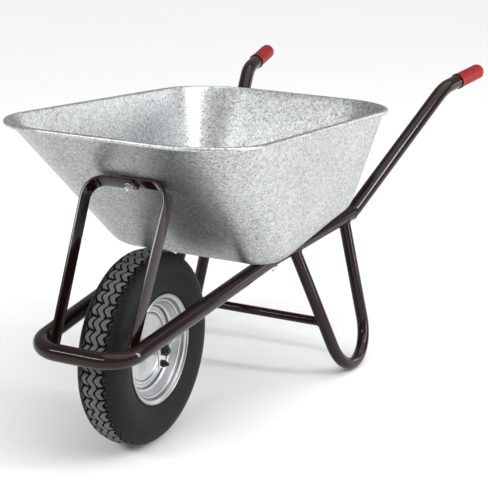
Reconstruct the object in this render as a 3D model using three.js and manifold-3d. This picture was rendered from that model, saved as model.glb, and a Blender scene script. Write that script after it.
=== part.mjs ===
// A single-wheel builder's wheelbarrow: a galvanised pan on a bent tube frame.
// Millimetres, +Z up. The wheel is at -Y, the grips at +Y, and +X is the pusher's left.
// The origin is on the ground, below the middle of the whole barrow.
import * as THREE from 'three';
import { mergeVertices } from 'three/addons/utils/BufferGeometryUtils.js';
import Module from 'manifold-3d';

const wasm = await Module();
wasm.setup();

// ---- Driving dimensions -------------------------------------------------
const AXLE_Y = -449.7; // wheel axle, measured from the middle of the barrow
const AXLE_Z = 200; // tyre radius, so the wheel touches the ground
const GAP = 0.3; // clearance left between touching pieces

const TUBE_R = 17; // main frame tube, outside radius
const HANDLE_R = 16.5;
const TUBE_WALL = 1.75;
const LEG_R = 13.45;
const BRACE_R = 10;

// A point given by its distance from the middle, behind the axle, and above the ground.
const at = (x, behind, z) => new THREE.Vector3(x, AXLE_Y + behind, z);

// Corners of the left half of the frame's centre line.
const FRONT_CORNER = at(101, -252.5, 268.7);
const RAIL_BEND = at(121.7, 336, 303.2);
const RAIL_END = at(168.9, 665.7, 327.8);
const HANDLE_BEND = at(262.3, 995, 562.4);
const HANDLE_END = at(290, 1164, 575.5);

// Rounded corners of the frame tube.
const FRONT_CORNER_BEND = 62;
const RAIL_BEND_RADIUS = 220;
const JOINT_BEND_RADIUS = 30;
const HANDLE_BEND_RADIUS = 100;

// The handle starts a little before the rail's end, with a drawn-down length inside the rail.
const JOINT_SETBACK = 10;
const SPIGOT_LENGTH = 62;
const GRIP_LENGTH = 106;
const GRIP_R = 18.2;

// Legs: one U of tube under each rail.
const LEG_FRONT_STATION = 421;
const LEG_REAR_STATION = 627.6;
const LEG_WALL = 1.6;
const FOOT_X = 233;
const FOOT_FRONT_STATION = 476.4;
const FOOT_REAR_STATION = 624.4;
const FOOT_BEND = 80;
const BRACE_HEIGHT = 132;
const BRACE_WALL = 1.5;

// Pan: a rim outline and a floor outline, joined by straight sloping walls.
const SHEET = 1.2;
const RIM = {
  front: -149.4, rear: 729, frontHalf: 276, rearHalf: 260, frontZ: 666.8, rearZ: 572, corner: 148,
};
const FLOOR = {
  front: 198, rear: 613.6, frontHalf: 201, rearHalf: 203, frontZ: 326.8, rearZ: 356.4, corner: 70,
};
const FLOOR_FILLET = 45;
const BEAD_R = 4.6; // middle radius of the rolled rim
const RIM_WIRE_R = 3.1;

// Front struts: two flat bars that meet at one bolt on the pan's front wall.
const STRAP_WIDTH = 35;
const STRAP_THICKNESS = 5;
const STRUT_FOOT = at(84.2, -196, 256);
const STRUT_TOP_X = 92;
const STRUT_TOP_Z = 556;
const STRUT_BEND = 38;
const STRUT_LAP = 13.5; // past the bolt

// Wheel: a 4.00-8 pneumatic tyre on a two-piece pressed rim.
const TYRE_R = 200;
const TYRE_HALF = 50;
const RIM_FLANGE_R = 112;
const RIM_FLANGE_X = 38.4;
const RIM_SHEET = 1.8;
const HUB_HALF = 33;
const HUB_R = 14;
const HUB_BORE = 11.5;
const BRACKET_X = 40.5; // middle of the plate that holds the axle
const BRACKET_THICKNESS = 5;
const BRACKET_WIDTH = 25;
const BRACKET_FOOT_Z = 163;
const BRACKET_KNEE_Z = 219;
const BRACKET_STEP_X = 68; // where its arm turns up to the rail
const BRACKET_STEP_RISE = 4;
const KEEPER_Z = 171; // small bolt below the axle

const SADDLE_STATIONS = { front: 345, rear: 492 };
const SADDLE_WIDTH = 30;
const SADDLE_LENGTH = 42;

// Fasteners. The tail is the bolt's length beyond what it clamps.
const M8 = {
  radius: 4, headRadius: 9.5, headHeight: 4.5, washerRadius: 8.5, washerHeight: 1.6,
  flats: 13, nutHeight: 6.5, tail: 13,
};
const M12 = {
  radius: 6, headHeight: 7.5, washerRadius: 12, washerHeight: 2, flats: 19, nutHeight: 10, tail: 14,
};
const KEEPER = { headRadius: 6, headHeight: 2, length: 19 };
const DRILL = 60; // how far a drilled hole reaches to each side

// ---- Materials ----------------------------------------------------------
const steel = (color, roughness, metalness) =>
  new THREE.MeshStandardMaterial({ color, roughness, metalness });
const galvanised = () => steel(0xb9bdbe, 0.45, 0.85);
const paint = () => steel(0x2e201d, 0.28, 0.2);
const zinc = () => steel(0xc4c6c8, 0.3, 0.9);
const blackened = () => steel(0x1b1b1c, 0.5, 0.6);
const silverPaint = () => steel(0xd0d2d4, 0.35, 0.5);
const rubber = () => steel(0x2a2a2b, 0.8, 0);
const gripPlastic = () => steel(0xb8232b, 0.45, 0);
const nylon = () => steel(0xd8d6cf, 0.5, 0);

// ---- Solids -------------------------------------------------------------
const solid = (geometry) => {
  const bare = geometry.clone();
  bare.deleteAttribute('normal');
  bare.deleteAttribute('uv');
  const merged = mergeVertices(bare, 1e-4);
  return new wasm.Manifold(new wasm.Mesh({
    numProp: 3,
    vertProperties: new Float32Array(merged.attributes.position.array),
    triVerts: new Uint32Array(merged.index.array),
  }));
};

const geometryOf = (manifold) => {
  const mesh = manifold.getMesh();
  const geometry = new THREE.BufferGeometry();
  geometry.setAttribute('position', new THREE.BufferAttribute(new Float32Array(mesh.vertProperties), 3));
  geometry.setIndex(new THREE.BufferAttribute(new Uint32Array(mesh.triVerts), 1));
  geometry.computeVertexNormals();
  return geometry;
};

const cut = (geometry, ...tools) =>
  geometryOf(tools.reduce((body, tool) => body.subtract(solid(tool)), solid(geometry)));
const join = (geometry, ...others) =>
  geometryOf(others.reduce((body, other) => body.add(solid(other)), solid(geometry)));

const object = new THREE.Group();
const add = (name, geometry, material) => {
  const mesh = new THREE.Mesh(geometry, material);
  mesh.name = name;
  object.add(mesh);
  return mesh;
};

// ---- Paths and sweeps ---------------------------------------------------
// A path through given stations, which steps evenly from one station to the next.
class StationPath extends THREE.Curve {
  constructor(points, tangents) {
    super();
    this.points = points;
    this.tangents = tangents;
  }

  at(list, t, target) {
    const place = Math.min(Math.max(t, 0), 1) * (list.length - 1);
    const index = Math.min(Math.floor(place), list.length - 2);
    return target.copy(list[index]).lerp(list[index + 1], place - index);
  }

  getPoint(t, target = new THREE.Vector3()) {
    return this.at(this.points, t, target);
  }

  getPointAt(t, target = new THREE.Vector3()) {
    return this.getPoint(t, target);
  }

  getTangentAt(t, target = new THREE.Vector3()) {
    return this.at(this.tangents, t, target).normalize();
  }
}

// Straight runs between corners, with each inner corner rounded to its bend radius.
const bentPath = (corners, radii, bendSteps = 4) => {
  const points = [corners[0].clone()];
  const tangents = [corners[1].clone().sub(corners[0]).normalize()];
  for (let i = 1; i < corners.length - 1; i += 1) {
    const into = corners[i].clone().sub(corners[i - 1]).normalize();
    const out = corners[i + 1].clone().sub(corners[i]).normalize();
    const turn = into.angleTo(out);
    const reach = radii[i - 1] * Math.tan(turn / 2);
    const inward = out.clone().addScaledVector(into, -into.dot(out)).normalize();
    const start = corners[i].clone().addScaledVector(into, -reach);
    for (let k = 0; k <= bendSteps; k += 1) {
      const angle = (turn * k) / bendSteps;
      points.push(start.clone()
        .addScaledVector(into, radii[i - 1] * Math.sin(angle))
        .addScaledVector(inward, radii[i - 1] * (1 - Math.cos(angle))));
      tangents.push(into.clone().multiplyScalar(Math.cos(angle)).addScaledVector(inward, Math.sin(angle)));
    }
  }
  points.push(corners.at(-1).clone());
  tangents.push(corners.at(-1).clone().sub(corners.at(-2)).normalize());
  return new StationPath(points, tangents);
};

const circlePoints = (radius, sides) => Array.from({ length: sides }, (_, i) => {
  const angle = (2 * Math.PI * (i + 0.5)) / sides;
  return new THREE.Vector2(radius * Math.cos(angle), radius * Math.sin(angle));
});

const sweep = (shape, path) => new THREE.ExtrudeGeometry(shape, {
  steps: path.points.length - 1, extrudePath: path, bevelEnabled: false,
});

const rodAlong = (path, radius, sides = 12) => sweep(new THREE.Shape(circlePoints(radius, sides)), path);

const tubeAlong = (path, radius, wall, sides = 12) => {
  const shape = new THREE.Shape(circlePoints(radius, sides));
  shape.holes.push(new THREE.Path(circlePoints(radius - wall, sides)));
  return sweep(shape, path);
};

const straight = (from, to) => bentPath([from, to], []);

// A closed mesh from rings of points: sides between rings, and a flat end on the first and last.
const loft = (rings) => {
  const sides = rings[0].length;
  const positions = rings.flat().flatMap((p) => [p.x, p.y, p.z]);
  const faces = [];
  for (let r = 0; r < rings.length - 1; r += 1) {
    for (let s = 0; s < sides; s += 1) {
      const a = r * sides + s;
      const b = r * sides + ((s + 1) % sides);
      faces.push(a, b, b + sides, a, b + sides, a + sides);
    }
  }
  const last = (rings.length - 1) * sides;
  for (let s = 1; s < sides - 1; s += 1) {
    faces.push(0, s + 1, s, last, last + s, last + s + 1);
  }
  return indexed(positions, faces);
};

const indexed = (positions, faces) => {
  const geometry = new THREE.BufferGeometry();
  geometry.setAttribute('position', new THREE.Float32BufferAttribute(positions, 3));
  geometry.setIndex(faces);
  geometry.computeVertexNormals();
  return geometry;
};

// ---- Fasteners: built along +Z, then turned onto their axis -------------
const hexagon = (acrossFlats) => {
  const radius = acrossFlats / Math.sqrt(3);
  return new THREE.Shape(Array.from({ length: 6 }, (_, i) =>
    new THREE.Vector2(radius * Math.cos((i * Math.PI) / 3), radius * Math.sin((i * Math.PI) / 3))));
};

const onAxis = (geometry, origin, direction) => {
  const turn = new THREE.Quaternion().setFromUnitVectors(new THREE.Vector3(0, 0, 1), direction);
  return geometry.clone().applyQuaternion(turn).translate(origin.x, origin.y, origin.z);
};

const pin = (radius, from, to, sides = 12) => {
  const length = from.distanceTo(to);
  const geometry = new THREE.CylinderGeometry(radius, radius, length, sides);
  geometry.rotateX(Math.PI / 2);
  geometry.translate(0, 0, length / 2);
  return onAxis(geometry, from, to.clone().sub(from).normalize());
};

const drilled = (radius, origin, axis) => pin(
  radius + GAP,
  origin.clone().addScaledVector(axis, -DRILL),
  origin.clone().addScaledVector(axis, DRILL),
);

const nut = (acrossFlats, height, bore) => {
  const shape = hexagon(acrossFlats);
  shape.holes.push(new THREE.Path(circlePoints(bore, 12)));
  return new THREE.ExtrudeGeometry(shape, { depth: height, bevelEnabled: false });
};

const washer = (radius, height, bore) => {
  const shape = new THREE.Shape(circlePoints(radius, 16));
  shape.holes.push(new THREE.Path(circlePoints(bore, 12)));
  return new THREE.ExtrudeGeometry(shape, { depth: height, bevelEnabled: false });
};

// A low domed head with its flat side at z = 0 and its shank running down to -length.
const domedBolt = (headRadius, headHeight, radius, length) => {
  const profile = [
    [0, -length], [radius, -length], [radius, 0], [headRadius, 0],
    [headRadius * 0.8, headHeight * 0.75], [0, headHeight],
  ];
  return lathe(profile, 12);
};

const hexBolt = (acrossFlats, headHeight, radius, length) => {
  const head = new THREE.ExtrudeGeometry(hexagon(acrossFlats), { depth: headHeight, bevelEnabled: false });
  const total = length + headHeight / 2;
  const shank = new THREE.CylinderGeometry(radius, radius, total, 16);
  shank.rotateX(Math.PI / 2);
  shank.translate(0, 0, headHeight / 2 - total / 2);
  return join(head, shank);
};

// A profile of [radius, height] pairs turned about +Z.
const lathe = (profile, sides) => {
  const geometry = new THREE.LatheGeometry(profile.map(([r, z]) => new THREE.Vector2(r, z)), sides);
  return geometry.rotateX(Math.PI / 2);
};

// The same for parts of the wheel: pairs of [radius, x] turned about the axle.
const turned = (profile, sides) => {
  const geometry = lathe(profile, sides).rotateY(Math.PI / 2);
  return geometry.translate(0, AXLE_Y, AXLE_Z);
};

const mirrorX = (geometry) => {
  const flipped = geometry.clone().scale(-1, 1, 1);
  const index = flipped.index ? Array.from(flipped.index.array)
    : Array.from({ length: flipped.attributes.position.count }, (_, i) => i);
  for (let i = 0; i < index.length; i += 3) {
    [index[i], index[i + 1]] = [index[i + 1], index[i]];
  }
  flipped.setIndex(index);
  flipped.computeVertexNormals();
  return flipped;
};

// Left pieces are at +X; the right ones are their mirror images.
const addPair = (name, geometry, material) => {
  add(`${name}_left`, geometry, material());
  add(`${name}_right`, mirrorX(geometry), material());
};

const mirrored = (point) => new THREE.Vector3(-point.x, point.y, point.z);

// ---- Frame --------------------------------------------------------------
const railDirection = RAIL_END.clone().sub(RAIL_BEND).normalize();
const railTip = RAIL_END.clone().addScaledVector(railDirection, -JOINT_SETBACK);

const frameCorners = [railTip, RAIL_BEND, FRONT_CORNER];
const framePath = bentPath(
  [...frameCorners, ...frameCorners.map(mirrored).reverse()],
  [RAIL_BEND_RADIUS, FRONT_CORNER_BEND, FRONT_CORNER_BEND, RAIL_BEND_RADIUS],
);

// The rail's centre at a distance behind the axle, on the left side.
const railAt = (station) => {
  const y = AXLE_Y + station;
  const [from, to] = y < RAIL_BEND.y ? [FRONT_CORNER, RAIL_BEND] : [RAIL_BEND, RAIL_END];
  return from.clone().lerp(to, (y - from.y) / (to.y - from.y));
};

const frameEnvelope = rodAlong(framePath, TUBE_R + GAP);

// ---- Pan ----------------------------------------------------------------
// A trapezoid with rounded corners, lying in a plane that slopes from front to rear.
const CORNER_STEPS = 5;
const EDGE_STEPS = 2;
const LEAST_CORNER = 15;
const outline = ({ front, rear, frontHalf, rearHalf, frontZ, rearZ, corner }, inset = 0) => {
  const corners = [
    new THREE.Vector2(frontHalf - inset, AXLE_Y + front + inset),
    new THREE.Vector2(rearHalf - inset, AXLE_Y + rear - inset),
    new THREE.Vector2(inset - rearHalf, AXLE_Y + rear - inset),
    new THREE.Vector2(inset - frontHalf, AXLE_Y + front + inset),
  ];
  const radius = Math.max(corner - inset, LEAST_CORNER);
  const arcs = corners.map((point, i) => {
    const back = corners[(i + 3) % 4].clone().sub(point).normalize();
    const ahead = corners[(i + 1) % 4].clone().sub(point).normalize();
    const half = Math.acos(back.dot(ahead)) / 2;
    const middle = back.clone().add(ahead).normalize().multiplyScalar(radius / Math.sin(half)).add(point);
    const start = back.multiplyScalar(radius / Math.tan(half)).add(point).sub(middle);
    const sweepAngle = Math.PI - 2 * half;
    return Array.from({ length: CORNER_STEPS + 1 }, (_, k) =>
      start.clone().rotateAround(new THREE.Vector2(), (sweepAngle * k) / CORNER_STEPS).add(middle));
  });
  const flat = arcs.flatMap((arc, i) => {
    const next = arcs[(i + 1) % 4][0];
    const edge = Array.from({ length: EDGE_STEPS - 1 }, (_, k) =>
      arc.at(-1).clone().lerp(next, (k + 1) / EDGE_STEPS));
    return [...arc, ...edge];
  });
  const slope = (rearZ - frontZ) / (rear - front);
  return flat.map((p) => new THREE.Vector3(p.x, p.y, frontZ + slope * (p.y - AXLE_Y - front)));
};

const rimLine = outline(RIM);
const floorLine = outline(FLOOR);
const floorEdge = outline(FLOOR, FLOOR_FILLET);

// Middle of the sheet at each place round the pan: floor edge, fillet, wall, rolled rim.
const FILLET_STEPS = 3;
const WALL_STEPS = 1;
const CURL_STEPS = 7;
const CURL_TURN = (290 * Math.PI) / 180;
const wallUp = rimLine.map((p, i) => p.clone().sub(floorLine[i]).normalize());
const outward = rimLine.map((_, i) => {
  const count = rimLine.length;
  const along = rimLine[(i + 1) % count].clone().sub(rimLine[(i + count - 1) % count]);
  return along.cross(wallUp[i]).normalize();
});
const beadCentre = rimLine.map((p, i) => p.clone().addScaledVector(outward[i], BEAD_R));

const panProfile = (i) => {
  const wallFoot = floorLine[i].clone().addScaledVector(wallUp[i], FLOOR_FILLET);
  const line = [];
  for (let k = 0; k <= FILLET_STEPS; k += 1) {
    const t = k / FILLET_STEPS;
    line.push(floorEdge[i].clone().multiplyScalar((1 - t) ** 2)
      .addScaledVector(floorLine[i], 2 * t * (1 - t))
      .addScaledVector(wallFoot, t * t));
  }
  for (let k = 1; k <= WALL_STEPS; k += 1) {
    line.push(wallFoot.clone().lerp(rimLine[i], k / WALL_STEPS));
  }
  for (let k = 1; k <= CURL_STEPS; k += 1) {
    const turn = (CURL_TURN * k) / CURL_STEPS;
    line.push(beadCentre[i].clone()
      .addScaledVector(outward[i], -BEAD_R * Math.cos(turn))
      .addScaledVector(wallUp[i], BEAD_R * Math.sin(turn)));
  }
  return line;
};

// The pan is its middle surface thickened to the sheet, with the floor closed by a fan.
const pan = () => {
  const profiles = rimLine.map((_, i) => panProfile(i));
  const count = profiles.length;
  const rows = profiles[0].length;
  const offset = (i, k, side) => {
    const along = profiles[(i + 1) % count][k].clone().sub(profiles[(i + count - 1) % count][k]);
    const up = profiles[i][Math.min(k + 1, rows - 1)].clone().sub(profiles[i][Math.max(k - 1, 0)]);
    const normal = along.cross(up).normalize();
    return profiles[i][k].clone().addScaledVector(normal, (side * SHEET) / 2);
  };
  const positions = [];
  const faces = [];
  const place = (side) => {
    const first = positions.length / 3;
    profiles.forEach((profile, i) => {
      profile.forEach((_, k) => positions.push(...offset(i, k, side).toArray()));
    });
    return (i, k) => first + (i % count) * rows + k;
  };
  const outer = place(1);
  const inner = place(-1);
  for (let i = 0; i < count; i += 1) {
    for (let k = 0; k < rows - 1; k += 1) {
      faces.push(outer(i, k), outer(i + 1, k), outer(i + 1, k + 1));
      faces.push(outer(i, k), outer(i + 1, k + 1), outer(i, k + 1));
      faces.push(inner(i, k), inner(i + 1, k + 1), inner(i + 1, k));
      faces.push(inner(i, k), inner(i, k + 1), inner(i + 1, k + 1));
    }
    faces.push(outer(i, rows - 1), outer(i + 1, rows - 1), inner(i + 1, rows - 1));
    faces.push(outer(i, rows - 1), inner(i + 1, rows - 1), inner(i, rows - 1));
  }
  const middle = floorEdge.reduce((sum, p) => sum.add(p), new THREE.Vector3()).divideScalar(count);
  const normal = floorEdge[0].clone().sub(middle).cross(floorEdge[10].clone().sub(middle)).normalize();
  for (const [index, side] of [[outer, 1], [inner, -1]]) {
    const hub = positions.length / 3;
    positions.push(...middle.clone().addScaledVector(normal, (-side * SHEET) / 2).toArray());
    for (let i = 0; i < count; i += 1) {
      faces.push(hub, ...(side > 0 ? [index(i + 1, 0), index(i, 0)] : [index(i, 0), index(i + 1, 0)]));
    }
  }
  return indexed(positions, faces);
};

const rimWire = () => {
  const sides = 8;
  const count = beadCentre.length;
  const positions = beadCentre.flatMap((centre, i) => Array.from({ length: sides }, (_, s) => {
    const angle = (2 * Math.PI * s) / sides;
    return centre.clone()
      .addScaledVector(outward[i], RIM_WIRE_R * Math.cos(angle))
      .addScaledVector(wallUp[i], RIM_WIRE_R * Math.sin(angle)).toArray();
  })).flat();
  const faces = [];
  for (let i = 0; i < count; i += 1) {
    const next = ((i + 1) % count) * sides;
    for (let s = 0; s < sides; s += 1) {
      const t = (s + 1) % sides;
      faces.push(i * sides + s, next + s, next + t, i * sides + s, next + t, i * sides + t);
    }
  }
  return indexed(positions, faces);
};

const floorZ = (y) => FLOOR.frontZ
  + ((FLOOR.rearZ - FLOOR.frontZ) * (y - AXLE_Y - FLOOR.front)) / (FLOOR.rear - FLOOR.front);
const floorUp = new THREE.Vector3(0, FLOOR.frontZ - FLOOR.rearZ, FLOOR.rear - FLOOR.front).normalize();

// ---- Front struts -------------------------------------------------------
const frontWallDown = new THREE.Vector3(0, FLOOR.front - RIM.front, FLOOR.frontZ - RIM.frontZ).normalize();
const frontWallOut = new THREE.Vector3(0, frontWallDown.z, -frontWallDown.y).normalize();
const frontWallAt = (z) => new THREE.Vector3(
  0, AXLE_Y + RIM.front + ((RIM.frontZ - z) * frontWallDown.y) / -frontWallDown.z, z,
);

// One flat bar: up from the frame's side, round the corner and across to the other side.
const strut = (layer) => {
  const lift = SHEET / 2 + GAP + STRAP_THICKNESS / 2 + layer * (STRAP_THICKNESS + GAP);
  const lap = frontWallAt(STRUT_TOP_Z).addScaledVector(frontWallOut, lift);
  const corner = lap.clone().setX(STRUT_TOP_X);
  const legUp = corner.clone().sub(STRUT_FOOT).normalize();
  const legWidth = new THREE.Vector3(0, legUp.z, -legUp.y).normalize();
  const path = bentPath([STRUT_FOOT, corner, lap.clone().setX(-STRUT_LAP)], [STRUT_BEND], 6);
  const rings = path.points.map((centre, i) => {
    const along = path.tangents[i];
    const blend = Math.min(Math.max((i - 1) / (path.points.length - 3), 0), 1);
    const width = legWidth.clone().lerp(frontWallDown, blend);
    width.addScaledVector(along, -width.dot(along)).normalize();
    const face = along.clone().cross(width);
    return [[-1, -1], [1, -1], [1, 1], [-1, 1]].map(([w, t]) => centre.clone()
      .addScaledVector(width, (w * STRAP_WIDTH) / 2)
      .addScaledVector(face, (t * STRAP_THICKNESS) / 2));
  });
  return loft(rings);
};

const strutAxis = frontWallAt(STRUT_TOP_Z);
const strutHole = drilled(M8.radius, strutAxis, frontWallOut);

add('front_strut_left', cut(strut(0), strutHole, frameEnvelope), paint());
add('front_strut_right', cut(mirrorX(strut(1)), strutHole, frameEnvelope), paint());

// A bolt whose head sits at the origin, with its washer and nut beyond the pieces it clamps.
const addBoltSet = (name, origin, axis, grip) => {
  const down = axis.clone().negate();
  const bolt = domedBolt(M8.headRadius, M8.headHeight, M8.radius, grip + M8.tail);
  add(`${name}_bolt`, onAxis(bolt, origin, axis), zinc());
  const bore = M8.radius + GAP;
  const washerAt = origin.clone().addScaledVector(down, grip + GAP);
  add(`${name}_washer`, onAxis(washer(M8.washerRadius, M8.washerHeight, bore), washerAt, down), zinc());
  const nutAt = washerAt.clone().addScaledVector(down, M8.washerHeight + GAP);
  add(`${name}_nut`, onAxis(nut(M8.flats, M8.nutHeight, bore), nutAt, down), zinc());
};

// The strut bolt's head is inside the pan.
const headSeat = SHEET / 2 + GAP;
addBoltSet(
  'front_strut',
  strutAxis.clone().addScaledVector(frontWallOut, -headSeat),
  frontWallOut.clone().negate(),
  2 * headSeat + 2 * STRAP_THICKNESS + GAP,
);

// ---- Pan fixings: saddles on the rails, the front ones bolted through ----
const onBothRails = (end) => {
  const rail = railAt(SADDLE_STATIONS[end]);
  return [[`${end}_left`, rail], [`${end}_right`, mirrored(rail)]];
};
const boltPlaces = onBothRails('front');
const boltHoles = boltPlaces.map(([, rail]) => drilled(M8.radius, rail, floorUp));

// Height of a saddle's lowest edge above the rail's centre, as a share of the tube's radius.
const SADDLE_SEAT = 0.55;
const saddle = (rail) => {
  const bottom = rail.z + TUBE_R * SADDLE_SEAT;
  const height = floorZ(rail.y) - SHEET / 2 - GAP - bottom;
  const block = new THREE.BoxGeometry(SADDLE_WIDTH, SADDLE_LENGTH, height);
  block.translate(0, 0, -height / 2);
  const top = new THREE.Vector3(rail.x, rail.y, bottom + height);
  return onAxis(block, top, floorUp);
};

for (const [name, rail] of [...boltPlaces, ...onBothRails('rear')]) {
  add(`tray_saddle_${name}`, cut(saddle(rail), frameEnvelope, ...boltHoles), paint());
}
for (const [name, rail] of boltPlaces) {
  const top = rail.clone().addScaledVector(floorUp, (floorZ(rail.y) - rail.z) * floorUp.z + headSeat);
  addBoltSet(`tray_${name}`, top, floorUp, top.distanceTo(rail) + TUBE_R + GAP);
}

add('tray', cut(pan(), strutHole, ...boltHoles), galvanised());
add('tray_rim_wire', rimWire(), zinc());

// ---- Frame tube, handles and grips --------------------------------------
add('frame_tube', cut(tubeAlong(framePath, TUBE_R, TUBE_WALL), ...boltHoles), paint());

// The handle's lower end is drawn down so that it slides into the rail.
const SPIGOT_R = TUBE_R - TUBE_WALL - GAP;
const gripDirection = HANDLE_END.clone().sub(HANDLE_BEND).normalize();
const OVERRUN = 1; // joined solids overlap by this, and a cut runs past an open end by it
const handle = () => {
  const mouth = railTip.clone().addScaledVector(railDirection, GAP);
  const path = bentPath([mouth, RAIL_END, HANDLE_BEND, HANDLE_END], [JOINT_BEND_RADIUS, HANDLE_BEND_RADIUS]);
  const spigotStart = mouth.clone().addScaledVector(railDirection, -SPIGOT_LENGTH);
  const spigotEnd = mouth.clone().addScaledVector(railDirection, OVERRUN);
  const spigot = rodAlong(straight(spigotStart, spigotEnd), SPIGOT_R);
  const body = join(rodAlong(path, HANDLE_R), spigot);
  const bore = rodAlong(bentPath(
    [spigotStart.clone().addScaledVector(railDirection, -OVERRUN), RAIL_END, HANDLE_BEND,
      HANDLE_END.clone().addScaledVector(gripDirection, OVERRUN)],
    [JOINT_BEND_RADIUS, HANDLE_BEND_RADIUS],
  ), SPIGOT_R - TUBE_WALL);
  return cut(body, bore);
};
addPair('handle', handle(), paint);

const GRIP_LIP = 4; // length of the thicker ring round its open end
const GRIP_CAP = 3.6; // how far its closed end reaches past the handle
const grip = () => {
  const bore = HANDLE_R + GAP;
  const lipR = GRIP_R + 1;
  const profile = [
    [0, GAP], [bore, GAP], [bore, -GRIP_LENGTH], [lipR, -GRIP_LENGTH],
    [lipR, GRIP_LIP - GRIP_LENGTH], [GRIP_R, GRIP_LIP + 2 - GRIP_LENGTH], [GRIP_R, -6],
    [GRIP_R * 0.93, -1], [GRIP_R * 0.7, GRIP_CAP - 1.2], [0, GRIP_CAP],
  ];
  return onAxis(lathe(profile, 16), HANDLE_END, gripDirection);
};
addPair('grip', grip(), gripPlastic);

// ---- Legs and cross brace -----------------------------------------------
const FOOT_Z = LEG_R;
const leg = () => {
  const frontTop = railAt(LEG_FRONT_STATION);
  const rearTop = railAt(LEG_REAR_STATION);
  const frontFoot = at(FOOT_X, FOOT_FRONT_STATION, FOOT_Z);
  const rearFoot = at(FOOT_X, FOOT_REAR_STATION, FOOT_Z);
  return bentPath([frontTop, frontFoot, rearFoot, rearTop], [FOOT_BEND, FOOT_BEND]);
};
const legPath = leg();
const legTube = cut(tubeAlong(legPath, LEG_R, LEG_WALL), frameEnvelope);
const legEnvelope = rodAlong(legPath, LEG_R + GAP);

const brace = () => {
  const top = railAt(LEG_FRONT_STATION);
  const foot = at(FOOT_X, FOOT_FRONT_STATION, FOOT_Z);
  const end = foot.lerp(top, (BRACE_HEIGHT - FOOT_Z) / (top.z - FOOT_Z));
  return cut(tubeAlong(straight(mirrored(end), end), BRACE_R, BRACE_WALL), legEnvelope, mirrorX(legEnvelope));
};

addPair('leg', legTube, paint);
add('leg_cross_brace', brace(), paint());

// ---- Axle brackets ------------------------------------------------------
const left = new THREE.Vector3(1, 0, 0);
const right = new THREE.Vector3(-1, 0, 0);
const axlePoint = (x) => new THREE.Vector3(x, AXLE_Y, AXLE_Z);
const keeperPoint = (x) => new THREE.Vector3(x, AXLE_Y, KEEPER_Z);

// A flat bar in the plane across the barrow: plate, step outwards, and arm up to the rail.
const axleBracket = () => {
  const rail = railAt(0);
  const line = [
    new THREE.Vector2(BRACKET_X, BRACKET_FOOT_Z),
    new THREE.Vector2(BRACKET_X, BRACKET_KNEE_Z),
    new THREE.Vector2(BRACKET_STEP_X, BRACKET_KNEE_Z + BRACKET_STEP_RISE),
    new THREE.Vector2(rail.x - BRACKET_STEP_RISE, rail.z),
  ];
  const half = BRACKET_THICKNESS / 2;
  const side = (sign) => line.map((point, i) => {
    const into = point.clone().sub(line[Math.max(i - 1, 0)]).normalize();
    const out = line[Math.min(i + 1, line.length - 1)].clone().sub(point).normalize();
    const along = into.clone().add(out).normalize();
    const edge = into.length() && out.length() ? along.dot(out) : 1;
    return new THREE.Vector2(along.y, -along.x).multiplyScalar((sign * half) / edge).add(point);
  });
  const shape = new THREE.Shape([...side(1), ...side(-1).reverse()]);
  const plate = new THREE.ExtrudeGeometry(shape, { depth: BRACKET_WIDTH, bevelEnabled: false });
  plate.rotateX(Math.PI / 2);
  plate.translate(0, AXLE_Y + BRACKET_WIDTH / 2, 0);
  return cut(
    plate,
    frameEnvelope,
    drilled(M12.radius, axlePoint(0), left),
    drilled(M8.radius, keeperPoint(0), left),
  );
};
addPair('axle_bracket', axleBracket(), zinc);

// ---- Axle and its fasteners ---------------------------------------------
const outerFace = BRACKET_X + BRACKET_THICKNESS / 2 + GAP;
const nutFace = outerFace + M12.washerHeight + GAP;

const axleBolt = hexBolt(M12.flats, M12.headHeight, M12.radius, 2 * nutFace + M12.tail);
add('axle', onAxis(axleBolt, axlePoint(-nutFace), right), blackened());
const axleWasher = washer(M12.washerRadius, M12.washerHeight, M12.radius + GAP);
addPair('axle_washer', onAxis(axleWasher, axlePoint(outerFace), left), zinc);
const axleNut = nut(M12.flats, M12.nutHeight, M12.radius + GAP);
add('axle_nut', onAxis(axleNut, axlePoint(nutFace), left), blackened());

const innerFace = BRACKET_X - BRACKET_THICKNESS / 2 - GAP;
const keeperBolt = domedBolt(KEEPER.headRadius, KEEPER.headHeight, M8.radius, KEEPER.length);
addPair('keeper_bolt', onAxis(keeperBolt, keeperPoint(innerFace), right), blackened);
const keeperNut = nut(M8.flats, M8.nutHeight, M8.radius + GAP);
addPair('keeper_nut', onAxis(keeperNut, keeperPoint(outerFace), left), blackened);

// ---- Wheel --------------------------------------------------------------
const WHEEL_SIDES = 32;

// Tyre: an open C in section, with its two beads on the rim.
const tyre = () => {
  const outside = [
    [106.5, 33], [114, 36], [128, 45], [142, 49], [157, TYRE_HALF], [172, 47.5],
    [187, 39], [194.5, 29], [198.5, 15], [TYRE_R, 0],
  ];
  const inside = [[104, 20], [113, 24], [124, 35], [157, 43], [181, 28], [188, 0]];
  const mirror = (list) => list.slice(0, -1).reverse().map(([r, x]) => [r, -x]);
  const outerRun = [...outside, ...mirror(outside)];
  const innerRun = [...inside, ...mirror(inside)];
  return turned([...outerRun.reverse(), ...innerRun, outerRun[0]], WHEEL_SIDES);
};

// Valve: a rubber stem out through the rim, tilted from straight up towards the rear, and its cap.
const VALVE_X = 14;
const VALVE_TILT = 1.43;
const VALVE_R = 4;
const VALVE_CAP = { radius: 5, from: 66, to: 75.7 };
const VALVE_STEM = { from: 76, to: 125 };
const valveBase = axlePoint(VALVE_X);
const valveDirection = new THREE.Vector3(0, Math.sin(VALVE_TILT), Math.cos(VALVE_TILT));
const valveAt = (radius) => valveBase.clone().addScaledVector(valveDirection, radius);

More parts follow.
